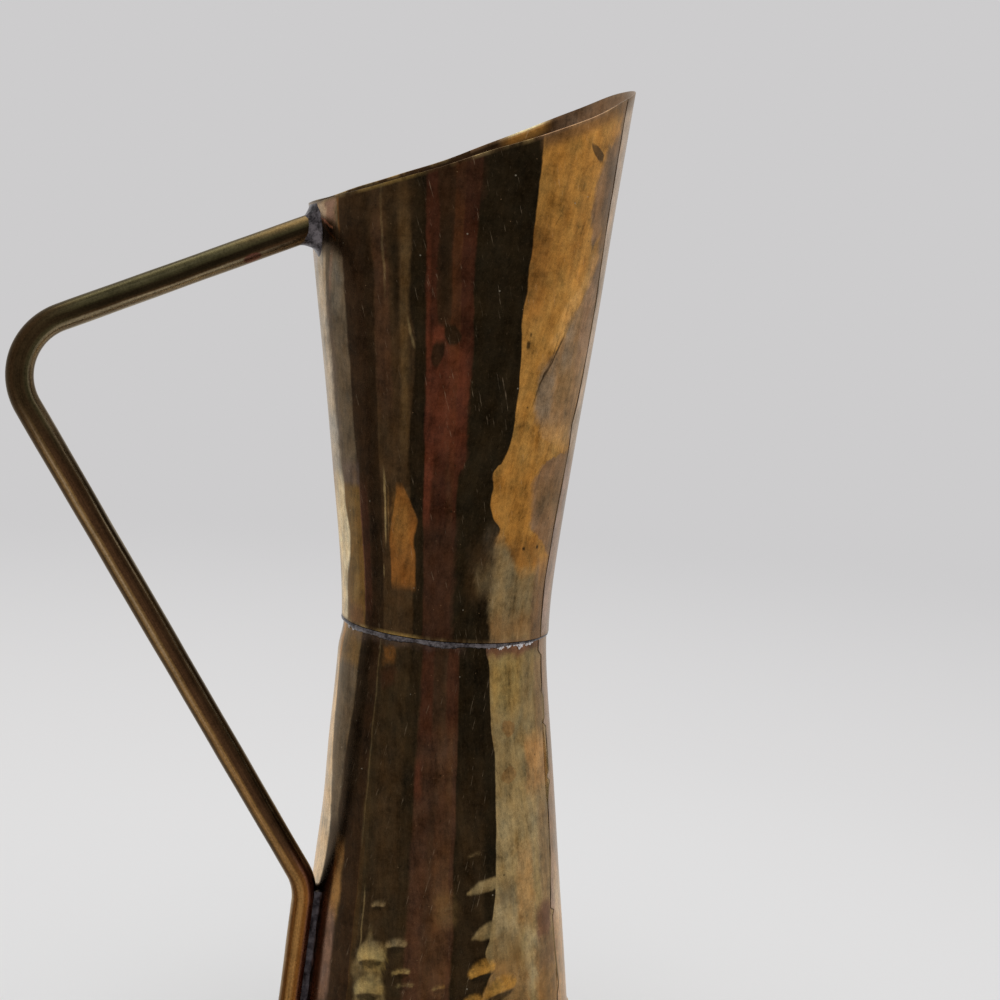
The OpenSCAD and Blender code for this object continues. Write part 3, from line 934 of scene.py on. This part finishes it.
# Edges of a straw patch on the handle side: a painted highlight where the hammered bosses catch the light.
LIT_BOSSES_FIRST = [(92, 95.4), (96, 93), (100, 90.4), (104, 89.2), (109, 87.4), (124, 86)]
LIT_BOSSES_LAST = [(92, 96.4), (96, 98.6), (100, 100.8), (104, 103.4), (107, 103.6), (110, 101.8), (124, 102.6)]
LOWER_STAINS_AND_PAINTED_LIGHT = (
    ("straw", 1.0, 0.3, -9, STRAW_EDGE, LOWEST, HIGHEST, 5),
    ("yellow_olive", 0.65, 2.5, 20, 42, 4, 22, 6),
    ("olive_grey", 0.45, 2.0, 7, 23, 8, 29, 6),
    ("stone", 0.6, 1.8, 0, 8.5, 6, 31, 5),
    ("pale_orange", 0.8, 1.8, -3, 19, 32, 49.5, 4),
    ("amber", 0.5, 0.7, OVAL_FIRST, OVAL_LAST, 25, 31, 0.8),
    ("amber", 0.4, 0.7, LOW_OVAL_FIRST, LOW_OVAL_LAST, 39.6, 45.4, 0.8),
    ("yellow_olive", 0.4, 2.5, 20, 40, 49, 76, 8),
    ("chalk", 0.4, 2.0, 10, 40, 50, 74, 8),
    ("chalk", 0.5, 1.8, 27, 41, 80, 97, 4),
    ("chalk", 0.45, 1.8, 14, 24, 92, 112, 5),
    ("stone", 0.5, 2.0, 0, 12, 52, 96, 8),
    ("pale_orange", 0.45, 1.6, 18, 28, 66, 91, 4),
    ("sage", 0.4, 1.8, 29, 38, 75, 83, 3),
    # Painted shade: darker olive-brown between the bosses below the golden band.
    ("bronze", 0.65, 1.8, 27, 42, 92, 104, 3),
    ("plum", 0.75, 1.8, 5, 17, 87, 98, 3),
    ("amber", 0.6, 2.0, 1, 18, 99, 130, 4),
    ("taupe", 0.4, 1.6, 3, 15, 98, 108, 3),
    ("amber", 0.5, 2.5, 22, 52, 102, HIGHEST, 5),
    ("plum", 0.8, 1.6, 3, 46, LOWEST, 4.6, 1.6),
    # Painted reflection, partly tarnish: pale strips towards the right outline, where the brass mirrors the
    # pale backdrop.
    ("rose_tan", 0.9, 0.8, RIGHT_ROUND, LOWER_SEAM, LOWEST, HIGHEST, 5),
    ("tan", 0.5, 2.0, RIGHT_ROUND, -1, 82, HIGHEST, 8),
    ("pale_orange", 0.6, 1.8, -16, 2, 95, HIGHEST, 4),
    ("near_black", 1.0, 0.4, STRAW_EDGE, 61, LOWEST, HIGHEST, 5),
    ("umber", 0.35, 2.0, 45, 58, 40, HIGHEST, 14),
    # Painted highlights: straw-coloured crescents over the upper flanks of two low bosses, where they catch
    # the light.
    ("straw", 0.85, 0.5, 38.6, 53, [(39, 73.8), (44, 74), (49, 75.4), (53, 78)],
     [(39, 77.4), (46, 78.2), (53, 78.6)], 0.6),
    ("straw", 0.8, 0.5, 40, 51, [(40, 87.2), (44, 87.8), (48, 89.4), (51, 92)],
     [(40, 92.8), (46, 92.8), (51, 92.6)], 0.7),
    ("russet", 0.95, 0.7, 59.4, [(0, 80), (38, 80.6), (44, 82), (50, 80.8), (200, 81)], LOWEST, HIGHEST, 5),
    ("oxblood", 0.75, 1.0, 59.6, 65.2, LOWEST, 27, 4),
    ("near_black", 0.55, 1.2, 65.2, 72.4, LOWEST, 27, 3),
    ("oxblood", 0.75, 1.0, 72.4, 80, LOWEST, 31, 4),
    ("copper", 0.5, 1.6, 76, 82, 38, 48, 3),
    ("dusk", 0.6, 2.2, 60, 77, 48, 62, 8),
    ("brown", 0.5, 1.4, 68.6, 72, 40, 112, 14),
    ("bronze", 0.35, 2.5, 58, 67, 78, 87, 3),
    ("bistre", 0.95, 1.0, 79.6, 105.4, LOWEST, HIGHEST, 5),
    ("near_black", 0.6, 1.4, 79.4, 85.5, LOWEST, 58, 10),
    ("umber", 0.6, 2.0, 86, 98, 34, 82, 10),
    ("amber", 0.6, 1.8, 94, 101.6, 3, 7.4, 1.6),
    ("red_brown", 0.5, 1.6, 93.5, 102, 9, 15, 2),
    ("straw", 0.2, 0.3, 103.9, 104.6, LOWEST, 62, 12),
    ("straw", 0.45, 0.3, 100.1, 100.8, 79, 98, 3),
    # Painted highlight: the straw patch where the hammered bosses catch the light.
    ("straw", 0.5, 1.4, LIT_BOSSES_FIRST, LIT_BOSSES_LAST, 92, 124, 4),
    ("yellow_olive", 0.5, 1.6, 88, 97, 97, 105, 2.5),
    ("bistre", 0.45, 1.2, 95, 103, 105, 109.5, 1.6),
    ("brown", 1.0, 0.7, 104.8, DARK_EDGE, LOWEST, HIGHEST, 5),
    ("near_black", 0.55, 1.6, 110, 120, LOWEST, 52, 10),
    ("bronze", 0.9, 1.2, 119, 140, -5, 11.5, 2),
    ("sage", 0.95, 1.2, DARK_EDGE, PALE_EDGE, 11.5, 64, 3),
    # Painted reflection, partly tarnish: pale strips towards the left outline, where the brass mirrors the
    # pale backdrop.
    ("tan", 0.6, 4.0, 144, LEFT_ROUND, 6, 46, 6),
    ("tan", 0.9, 1.4, PALE_EDGE, LEFT_ROUND, 6, [(128, 92), (150, 92), (160, 84), (171, 98), (186, 86)], 7),
    # Painted reflection of the handle's leg: a dark brown wedge between the golden strip and the pale
    # outline.
    ("brown", 0.95, 1.0, DARK_EDGE, PALE_EDGE, 62, 92, 3),
    ("red_brown", 0.9, 1.2, 122, 152, 88, HIGHEST, 3),
    ("orange_brass", 0.8, 1.4, 115.6, 122.6, 68, 92, 4),
    ("pink_brown", 0.6, 1.4, 117, 123, 90, 120, 4),
    ("taupe", 0.4, 2.5, 56, 132, LOWEST, 2.2, 1.8),
)


# Share by which the inside is less of a metal, because its skin is matt
MATT_INSIDE = 0.55
# Plain streaks under the stains, partly tarnish and partly painted reflection in the tones of the bands, by a
# value between -1 and 1
STREAKS = (
    (-0.5, "near_black"), (-0.3, "bistre"), (-0.26, "umber"), (-0.14, "umber"), (-0.1, "oxblood"),
    (0.0, "russet"), (0.03, "brown"), (0.12, "bistre"), (0.16, "bronze"), (0.26, "olive_grey"),
    (0.3, "amber"), (0.38, "ochre"), (0.6, "deep_gold"),
)


def brushed(finish, across, rise, lean, seed):
    """Noise drawn out into strokes that lean from the upright by an angle in degrees."""
    cosine, sine = math.cos(math.radians(lean)), math.sin(math.radians(lean))
    strokes = finish.vector(across * cosine + rise * sine, (rise * cosine - across * sine) * 0.09, seed)
    return finish.noise(strokes, 0.9, 3.0, 0.65)


def paint_stains_and_light(finish, stains_and_light, turn, full_turn, rise):
    """Lays the stains and the painted reflections, shadows and highlights over one another on plain streaks
    of tarnish and painted reflection that run along the sheet. Band edges wander a little; blotches have
    brushed outlines, because both of their coordinates are pushed by noise."""
    across, up = turn * 0.072, rise * 0.1
    angle = full_turn * math.radians(1.0)
    round_about = finish.vector(angle.math("COSINE", angle), angle.math("SINE", angle), up * 0.012)
    colour = finish.bands(finish.noise(round_about, 3.2, 2.0) * 2.6, STREAKS)
    slow = finish.noise(finish.vector(across * 1.2, up * 0.4, 21.0), 1.0, 2.0)
    quick = finish.noise(finish.vector(across * 5.0, up * 1.8, 31.0), 1.0, 3.0)
    band_turn, band_rise = turn + slow * 3.4 + quick * 1.3, rise + quick * 1.2
    strokes = brushed(finish, turn * MM_PER_DEGREE, rise, 28.0, 61.0)
    push = finish.noise(finish.vector(across, up, 41.0), 1.3, 5.0, 0.6)
    pull = finish.noise(finish.vector(across, up, 51.0), 1.3, 5.0, 0.6)
    blotch_turn, blotch_rise = turn + push * 6.0 + strokes * 4.0, rise + pull * 8.0
    for name, strength, soft, first, last, low, high, fade in stains_and_light:
        ragged = soft > BLOTCH_SOFT
        here, height = (blotch_turn, blotch_rise) if ragged else (band_turn, band_rise)
        first_soft = FADE_ROUND if first == RIGHT_ROUND else soft
        last_soft = FADE_ROUND if last == LEFT_ROUND else soft
        share = finish.past(here, finish.along(height, first), first_soft, strength)
        share = share * finish.past(here, finish.along(height, last), -last_soft)
        if low != LOWEST:
            share = share * finish.past(height, finish.along(here, low), fade)
        if high != HIGHEST:
            share = share * finish.past(height, finish.along(here, high), -fade)
        colour = finish.mix(share, colour, tone(name))
    return colour


def wear_sheet(finish, colour, across, rise, calm):
    """Wear over the stains: streaks, clouds, mottling, grain and strokes that lighten and darken the colour
    by the share calm, a drift of its hue, dark and pale scratches, a film of dust, pale specks and dark pits.
    Gives the colour, and the clouds and mottling for the roughness and the bump."""
    flat = finish.vector(across, rise, 5.0)
    streak = finish.noise(finish.vector(across * 0.6, rise * 0.02), 1.0, 3.0, 0.6)
    cloud = finish.noise(flat, 0.13, 5.0, 0.62)
    mottle = finish.noise(finish.vector(across, rise, 15.0), 0.55, 5.0, 0.74)
    grain = finish.noise(finish.vector(across, rise * 0.8, 25.0), 2.3, 3.0, 0.75)
    strokes = brushed(finish, across, rise, 14.0, 35.0)
    worn = (streak * 0.7 + cloud * 2.0 + mottle * 1.1 + grain + strokes * 0.8) * calm + 1.0
    worn = worn.largest(0.35)
    hue = finish.noise(finish.vector(across, rise * 0.6, 45.0), 0.22, 3.0) * calm
    colour = finish.shade(colour, worn + hue * 0.35, worn, worn - hue * 0.5)
    fine = brushed(finish, across * 2.6, rise * 2.0, 34.0, 55.0)
    crossing = brushed(finish, across * 2.4, rise * 1.6, -21.0, 65.0)
    dark = 1 - finish.step(fine, 0.14, 0.24) * 0.4
    colour = finish.shade(colour, dark, dark, dark)
    colour = finish.mix(finish.step(crossing, 0.15, 0.25) * 0.18, colour, tone("tan"))
    dust = finish.noise(finish.vector(across, rise * 0.7, 95.0), 1.2, 4.0, 0.75)
    colour = finish.mix(finish.step(dust, 0.03, 0.3) * 0.1, colour, tone("grey_brown"))
    colour = finish.mix(finish.dots(flat, 0.36, 0.2, 0.3) * 0.4, colour, tone("grey_brown"))
    colour = finish.mix(finish.dots(flat, 0.17, 0.32, 0.5) * 0.6, colour, tone("pewter"))
    colour = finish.mix(finish.dots(flat, 0.13, 0.45, 0.35) * 0.65, colour, tone("near_black"))
    return colour, cloud, mottle


def sheet_finish(name, stains_and_light, detail):
    """Tarnished brass sheet: stains and painted reflections in bands along the sheet, the details of one cone
    with their painted highlights and shade, then wear over both. The inside is dull brown."""
    finish = Finish(bpy.data.materials.new(name))
    full_turn, rise = finish.mark("turn"), finish.mark("rise")
    turn = full_turn - full_turn.above(TURN_JUMP) * 360.0
    past_jump = full_turn - TURN_JUMP
    calm = finish.step(past_jump.math("ABSOLUTE", past_jump), 0.0, 9.0)
    colour = paint_stains_and_light(finish, stains_and_light, turn, full_turn, rise)
    skin = finish.noise(finish.place(), 40.0, 4.0, 0.6) * 3.0
    within = finish.bands(skin, ((-0.5, "bronze"), (0.5, "stone")))
    colour = finish.mix(finish.mark("inside"), colour, within)
    colour, metal = detail(finish, colour, turn, full_turn, rise)
    colour, cloud, mottle = wear_sheet(finish, colour, turn * MM_PER_DEGREE, rise, calm)
    roughness = 0.26 + cloud * 0.2 + mottle * 0.16
    bump = finish.bump(cloud * 0.5 + mottle * 0.5, 0.14, 0.0004)
    return finish.surface(
        Base_Color=colour, Metallic=metal, Roughness=roughness, Normal=bump, Specular_Tint=EDGE_TINT)


def rim_detail(finish, colour, turn, full_turn, rise):
    """Upper cone: a dull lip under the rim of the golden side; edges painted lighter, unevenly, partly as
    rubbed metal and partly as a painted highlight where they catch the light, with gold at the waist; and a
    brown shade and a painted golden glint, a painted reflection, inside the far rim, where the metal is made
    less of a metal. Gives colour and metal."""
    inside, below_rim = finish.mark("inside"), finish.mark("below_rim")
    near_rim = inside * finish.step(below_rim, 16.0, 5.0)
    colour = finish.mix(near_rim, colour, tone("brown"))
    lip = finish.step(below_rim, 6.0, 2.0) * (1 - inside) * finish.step(turn, 43.0, 40.0)
    colour = finish.mix(lip * 0.85, colour, tone("dull_lip"))
    # Painted reflection inside the far rim: deep gold, light gold and a near-white glint along the edge.
    far = inside * finish.within(full_turn, 264.0, 280.0, 4.0)
    brown = inside * finish.step(below_rim, 24.0, 6.0) * finish.within(full_turn, 286.0, 345.0, 6.0)
    colour = finish.mix(brown * 0.8, colour, tone("stone"))
    colour = finish.mix(far * finish.step(below_rim, 6.0, 1.0) * 0.8, colour, tone("deep_gold"))
    colour = finish.mix(far * finish.step(below_rim, 1.8, 0.7), colour, tone("light_gold"))
    glint = far * finish.step(below_rim, 0.95, 0.4)
    colour = finish.mix(glint, colour, tone("glint"))
    wear_and_highlight = finish.noise(finish.vector(full_turn * 0.09, rise * 0.02, 75.0), 1.0, 3.0)
    edge_tone = finish.mix(finish.step(wear_and_highlight, -0.04, 0.12), tone("umber"), tone("straw"))
    edge_tone = finish.mix(finish.within(turn, 82.0, 106.0, 5.0) * 0.7, edge_tone, tone("yellow_olive"))
    edge_tone = finish.mix(finish.step(turn, 46.0, 41.0) * 0.75, edge_tone, tone("stone"))
    metal = 1 - glint * 0.85 - (inside - near_rim) * MATT_INSIDE
    # The rim's and the lap's edges are painted lighter: partly rubbed metal, partly a painted highlight.
    return finish.mix(finish.mark("edge") * (0.8 - glint * 0.8), colour, edge_tone), metal


def boss_detail(finish, colour, turn, full_turn, rise):
    """Lower cone: the bosses' upper flanks get a painted highlight, golden where they crowd, straw-coloured
    on the handle side and greyer where they stand alone; their under-flanks get painted shade. Both are
    fainter and more mixed round the back. Gives colour and metal."""
    flakes = finish.noise(finish.vector(turn * MM_PER_DEGREE, rise, 85.0), 0.7, 4.0, 0.7) * 2.5 + 1.0
    side = finish.step(turn, 58.0, 70.0) * finish.step(turn, 190.0, 130.0)
    wear_and_highlight = finish.mix(side, tone("light_bronze"), tone("pale_straw"))
    wear_and_highlight = finish.mix(finish.step(rise, 94.0, 99.0), tone("olive_grey"), wear_and_highlight)
    back = finish.step(turn, 112.0, 150.0) + finish.step(turn, -8.0, -40.0)
    patch = finish.noise(finish.place(), 45.0, 2.0)
    wear_and_highlight = finish.mix(back * finish.step(patch, -0.12, 0.12) * 0.8, wear_and_highlight, tone("bronze"))
    # Painted highlight on the bosses' upper flanks.
    painted_highlight = finish.step(finish.mark("painted_highlight") * flakes, 0.05, 1.0) * (0.8 - back * 0.25)
    colour = finish.mix(painted_highlight, colour, wear_and_highlight)
    # Painted shade under the bosses' crests.
    # The near-black tone here is painted shade.
    shade = finish.step(finish.mark("shade") * flakes, 0.1, 1.0) * (0.75 - back * 0.2)
    return finish.mix(shade, colour, tone("near_black")), 1 - finish.mark("inside") * MATT_INSIDE


# Bands along the rod, from its inner side at -1 to its outer side at 1. They are partly tarnish and partly
# painted
# light by side: the pale band near the inner side is a painted reflection of the pale floor, the dark line a
# painted reflection of the dark room, and the pale band on the slope a painted highlight
GRIP_BANDS = (
    (-1.0, "pewter"), (-0.84, "sage"), (-0.7, "pale_rod"), (-0.5, "pale_rod"), (-0.36, "umber"),
    (-0.2, "near_black"), (0.08, "near_black"), (0.28, "olive"), (0.5, "light_olive"), (0.7, "olive"),
    (1.0, "light_olive"),
)
BEND_BANDS = (
    (-1.0, "pewter"), (-0.86, "umber"), (-0.7, "pale_rod"), (-0.6, "pale_rod"), (-0.4, "olive"),
    (-0.1, "bistre"), (0.4, "bistre"), (0.7, "umber"), (1.0, "bistre"),
)
SLOPE_BANDS = (
    (-1.0, "pewter"), (-0.86, "bistre"), (-0.7, "bistre"), (-0.6, "pale_rod"), (-0.5, "umber"),
    (-0.3, "brown"), (0.0, "chestnut"), (0.24, "chestnut"), (0.4, "bronze"), (0.54, "worn_and_lit_rod"),
    (0.68, "bronze"), (0.8, "umber"), (1.0, "umber"),
)
LEG_BANDS = (
    (-1.0, "near_black"), (-0.8, "red_brown"), (-0.6, "pink_brass"), (-0.2, "pink_brass"), (0.0, "amber"),
    (0.2, "amber"), (0.36, "orange_brass"), (0.6, "orange_brass"), (0.76, "rust"), (0.9, "rust"),
    (1.0, "worn_and_lit_rod"),
)


def rod_finish():
    """Tarnished brass rod: bands of tarnish and painted reflection along it that change from the olive grip
    over the dark bend and the brown slope, with a painted highlight that turns golden lower down, to the
    orange leg. By the joint it is painted bronze on its upper, lit side and brown on its lower, shaded side,
    with a red spot under the grip. Fine grain lies over all."""
    finish = Finish(bpy.data.materials.new("handle_brass"))
    crown, run, near = finish.mark("crown"), finish.mark("run"), finish.mark("near")
    level = crown + finish.noise(finish.vector(run * 0.03, crown * 0.6), 1.0, 3.0) * 0.25
    colour = finish.bands(level, GRIP_BANDS)
    colour = finish.mix(finish.step(run, 70.0, 92.0), colour, finish.bands(level, BEND_BANDS))
    colour = finish.mix(finish.step(run, 106.0, 140.0), colour, finish.bands(level, SLOPE_BANDS))
    # Painted highlight: a golden band on the slope's outer half, lower down.
    wear_and_highlight = finish.step(run, 180.0, 260.0) * finish.within(level, 0.36, 0.72, 0.2)
    colour = finish.mix(wear_and_highlight * 0.75, colour, tone("orange_brass"))
    colour = finish.mix(finish.step(run, 270.0, 296.0), colour, finish.bands(level, LEG_BANDS))
    # Painted light by side near the joint: lighter above, darker below.
    by_joint = finish.step(run, 34.0, 8.0)
    colour = finish.mix(by_joint * finish.step(level, 0.2, 0.6) * 0.4, colour, tone("bronze"))
    colour = finish.mix(by_joint * finish.step(level, 0.0, -0.5) * 0.6, colour, tone("chestnut"))
    spot = (run - 23.0) * (run - 23.0) / 9.0 + (level + 0.62) * (level + 0.62) / 0.1
    colour = finish.mix(finish.step(spot, 1.2, 0.7) * 0.85, colour, tone("plum"))
    place = finish.place()
    cloud = finish.noise(place, 190.0, 4.0, 0.6)
    grain = finish.noise(place, 1500.0, 3.0, 0.7)
    drawn = finish.noise(finish.vector(run * 0.05, crown * 9.0, near * 9.0), 1.0, 3.0, 0.6)
    worn = (cloud * 0.9 + drawn * 1.3 + grain * 1.5 + 1.0).largest(0.3)
    colour = finish.shade(colour, worn, worn, worn)
    bump = finish.bump(cloud * 0.5 + drawn * 0.5, 0.1, 0.0003)
    return finish.surface(
        Base_Color=colour, Metallic=1.0, Roughness=0.27 + cloud * 0.2, Normal=bump, Specular_Tint=EDGE_TINT)


def solder_finish(name, dark, light, roughness):
    """Soft solder: dull grey metal with darker flux stains and a lumpy skin."""
    finish = Finish(bpy.data.materials.new(name))
    place = finish.place()
    cloud = finish.noise(place, 260.0, 4.0, 0.6)
    grit = finish.noise(place, 1400.0, 3.0, 0.6)
    colour = finish.mix(finish.step(cloud + grit * 0.6, -0.2, 0.2), linear(*dark), linear(*light))
    bump = finish.bump(cloud * 0.7 + grit * 0.3, 0.4, 0.0006)
    return finish.surface(Base_Color=colour, Metallic=1.0, Roughness=roughness + cloud * 0.2, Normal=bump)


def seam_finish(name, broken):
    """Dark brown line of hard solder, of which a share is lost in the tarnish of the sheet."""
    finish = Finish(bpy.data.materials.new(name))
    place = finish.place()
    cloud = finish.noise(place, 420.0, 4.0, 0.65)
    colour = finish.mix(finish.step(cloud, -0.12, 0.16), tone("brown"), tone("russet"))
    lost = finish.step(finish.noise(place, 70.0, 3.0), -0.08, 0.08) * broken
    colour = finish.mix(lost, colour, tone("olive_grey"))
    bump = finish.bump(cloud, 0.4, 0.0003)
    return finish.surface(
        Base_Color=colour, Metallic=1.0, Roughness=0.45 + cloud * 0.2, Normal=bump, Specular_Tint=EDGE_TINT)


def flux_finish():
    """Chalky white crumbs of dried flux."""
    finish = Finish(bpy.data.materials.new("dried_flux"))
    cloud = finish.noise(finish.place(), 900.0, 3.0, 0.6)
    colour = finish.mix(finish.step(cloud, -0.2, 0.2), linear(206, 200, 200), linear(240, 238, 238))
    return finish.surface(Base_Color=colour, Roughness=0.75 + cloud * 0.15)


def base_finish():
    """Dull tarnished brass plate, brown with golden scuffs."""
    finish = Finish(bpy.data.materials.new("base_brass"))
    place = finish.place()
    cloud = finish.noise(place, 60.0, 5.0, 0.6)
    scuff = finish.noise(place, 500.0, 3.0, 0.6)
    colour = finish.mix(finish.step(cloud, -0.15, 0.15), tone("umber"), tone("ochre"))
    colour = finish.mix(finish.step(scuff, 0.1, 0.2) * 0.5, colour, tone("straw"))
    bump = finish.bump(scuff, 0.15, 0.0003)
    return finish.surface(Base_Color=colour, Metallic=1.0, Roughness=0.36 + scuff * 0.2, Normal=bump)


# Stage: floor, light and camera

BACKDROP = linear(205, 204, 205)
NEAR_FLOOR = linear(226, 225, 225)
# Centre of a painted pool of light on the glowing part of the floor.
BRIGHT_SPOT = (-0.2, 0.0, 0.0)
FLOOR_TONE = (0.87, 0.868, 0.87, 1.0)
FLOOR_R, FLOOR_DROP = 3.2, 0.0002
CAMERA_AT = (-0.166652, -0.442304, 0.266071)
CAMERA_LENS, CAMERA_SENSOR = 52.1814, 36.0


def make_floor():
    """Pale floor: a disc of rings whose radius grows by a power, so that it is fine near the ewer."""
    rings = FLOOR_R * np.linspace(0, 1, 40) ** 2
    rings[0] = 0.0005
    around = np.linspace(0, 2 * math.pi, 96, endpoint=False)
    r, a = np.meshgrid(rings, around, indexing="ij")
    points = np.stack([r * np.cos(a), r * np.sin(a), np.full_like(r, -FLOOR_DROP)], -1)
    rows, columns = r.shape
    quads = grid_quads(rows, columns, False, True)[:, ::-1]
    faces = quads.tolist() + [list(range(columns))]
    link_mesh("floor", points.reshape(-1, 3), faces, floor_finish())


def floor_finish():
    """Pale matt floor that keeps the ewer's shadow and fades into the backdrop's tone far from it; its
    glowing part is painted brighter round BRIGHT_SPOT, a painted pool of light.
    """
    finish = Finish(bpy.data.materials.new("floor_paper"))
    place = finish.place()
    mottle = finish.noise(place, 9.0, 2.0, 0.5) + 0.5
    colour = finish.mix(mottle, FLOOR_TONE, tuple(0.985 * c for c in FLOOR_TONE[:3]) + (1.0,))
    matt = finish.node("BsdfDiffuse", None, {"Color": colour})
    distance = finish.node("VectorMath", {"operation": "LENGTH"}, {0: place}, output=1)
    spread_out = finish.node("VectorMath", {"operation": "DISTANCE"}, {0: place, 1: BRIGHT_SPOT}, output=1)
    sweep = finish.mix(finish.step(spread_out, 0.0, 1.6), NEAR_FLOOR, BACKDROP)
    far = finish.node("Emission", None, {"Color": sweep, "Strength": 1.0})
    shader = finish.node("MixShader", None, {0: finish.step(distance, 0.1, 0.5), 1: matt, 2: far})
    finish.node("OutputMaterial", None, {"Surface": shader})
    return finish.owner


def make_world():
    """Backdrop tone for the camera and for what metal mirrors, a plain grey for the light it gives."""
    world = bpy.data.worlds.new("studio")
    bpy.context.scene.world = world
    finish = Finish(world)
    seen = finish.node("LightPath", output="Is Camera Ray")
    mirrored = seen.other("Is Glossy Ray").largest(seen.other("Is Transmission Ray"))
    plain = finish.node("Background", None, {"Color": (1, 1, 1, 1), "Strength": 0.55})
    backdrop = finish.node("Background", None, {"Color": BACKDROP, "Strength": 1.0})
    shader = finish.node("MixShader", None, {0: seen.largest(mirrored), 1: plain, 2: backdrop})
    finish.node("OutputWorld", None, {"Surface": shader})


def make_softbox(name, place, size, power):
    """Soft square lamp that looks at the middle of the ewer."""
    lamp = bpy.data.lights.new(name, "AREA")
    lamp.shape, lamp.size, lamp.energy = "SQUARE", size, power
    box = bpy.data.objects.new(name, lamp)
    away = np.array(place) - np.array([0.0, 0.0, WAIST_H * MM])
    away /= np.linalg.norm(away)
    upright = np.array([0.0, 0.13, 0.99])
    side = np.cross(upright, away)
    side /= np.linalg.norm(side)
    turned = np.stack([side, np.cross(away, side), away], 1)
    box.matrix_world = Matrix.Translation(place) @ Matrix(turned.tolist()).to_4x4()
    box.visible_camera = False
    bpy.context.scene.collection.objects.link(box)


def make_camera():
    """Camera at the photograph's viewing point, from its right, up and forward directions."""
    right = np.array([0.92416091, -0.37944315, 0.04415318])
    up = np.array([0.00333111, 0.12358359, 0.99232857])
    forward = np.array([0.38198889, 0.9169242, -0.11547509])
    camera = bpy.data.cameras.new("camera")
    camera.sensor_width, camera.lens = CAMERA_SENSOR, CAMERA_LENS
    camera.clip_start, camera.clip_end = 0.01, 50.0
    holder = bpy.data.objects.new("camera", camera)
    turned = Matrix(np.stack([right, up, -forward], 1).tolist()).to_4x4()
    holder.matrix_world = Matrix.Translation(CAMERA_AT) @ turned
    bpy.context.scene.collection.objects.link(holder)
    bpy.context.scene.camera = holder


def dress(piece, slot, *nodes):
    """A piece rides on the ewer and stands for its CAD nodes, which it hides. The slot is not used."""
    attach(piece, "root")
    if nodes:
        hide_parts(*nodes)


def repaint(node, material):
    """Gives a CAD node that stays in view a new material."""
    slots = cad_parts[node].data.materials
    slots.clear()
    slots.append(material)


bpy.context.scene.view_settings.view_transform = "Standard"
make_camera()
make_world()
make_softbox("overhead", (0.1, 0.25, 1.45), 1.1, 8.0)
make_softbox("right_window", (1.25, -0.35, 0.55), 0.9, 0.7)
make_floor()

solder = solder_finish("soft_solder", (42, 38, 39), (112, 106, 107), 0.3)
joint_solder = solder_finish("joint_solder", (42, 39, 40), (106, 100, 102), 0.2)
groove_solder = solder_finish("groove_solder", (36, 32, 34), (78, 72, 74), 0.3)

dress(make_upper_cone(sheet_finish("upper_brass", UPPER_STAINS_AND_PAINTED_LIGHT, rim_detail)), "upper_sheet", "upper_body")
dress(make_lower_cone(sheet_finish("lower_brass", LOWER_STAINS_AND_PAINTED_LIGHT, boss_detail)), "lower_sheet", "lower_body")
dress(make_handle(rod_finish()), "rod", "handle_rod")
dress(make_waist_bead(solder), "solder", "waist_solder")
dress(make_flux_crumbs(flux_finish()), "solder")
dress(make_upper_seam(seam_finish("seam_solder", 0.3)), "seam", "upper_seam_solder")
dress(make_lower_seam(seam_finish("broken_seam_solder", 0.85)), "seam", "lower_seam_solder")
dress(make_joint_fillet(joint_solder), "solder", "upper_handle_solder")
dress(make_leg_fillets(groove_solder), "solder", "lower_handle_solder")
repaint("base_plate", base_finish())
repaint("base_solder", solder)
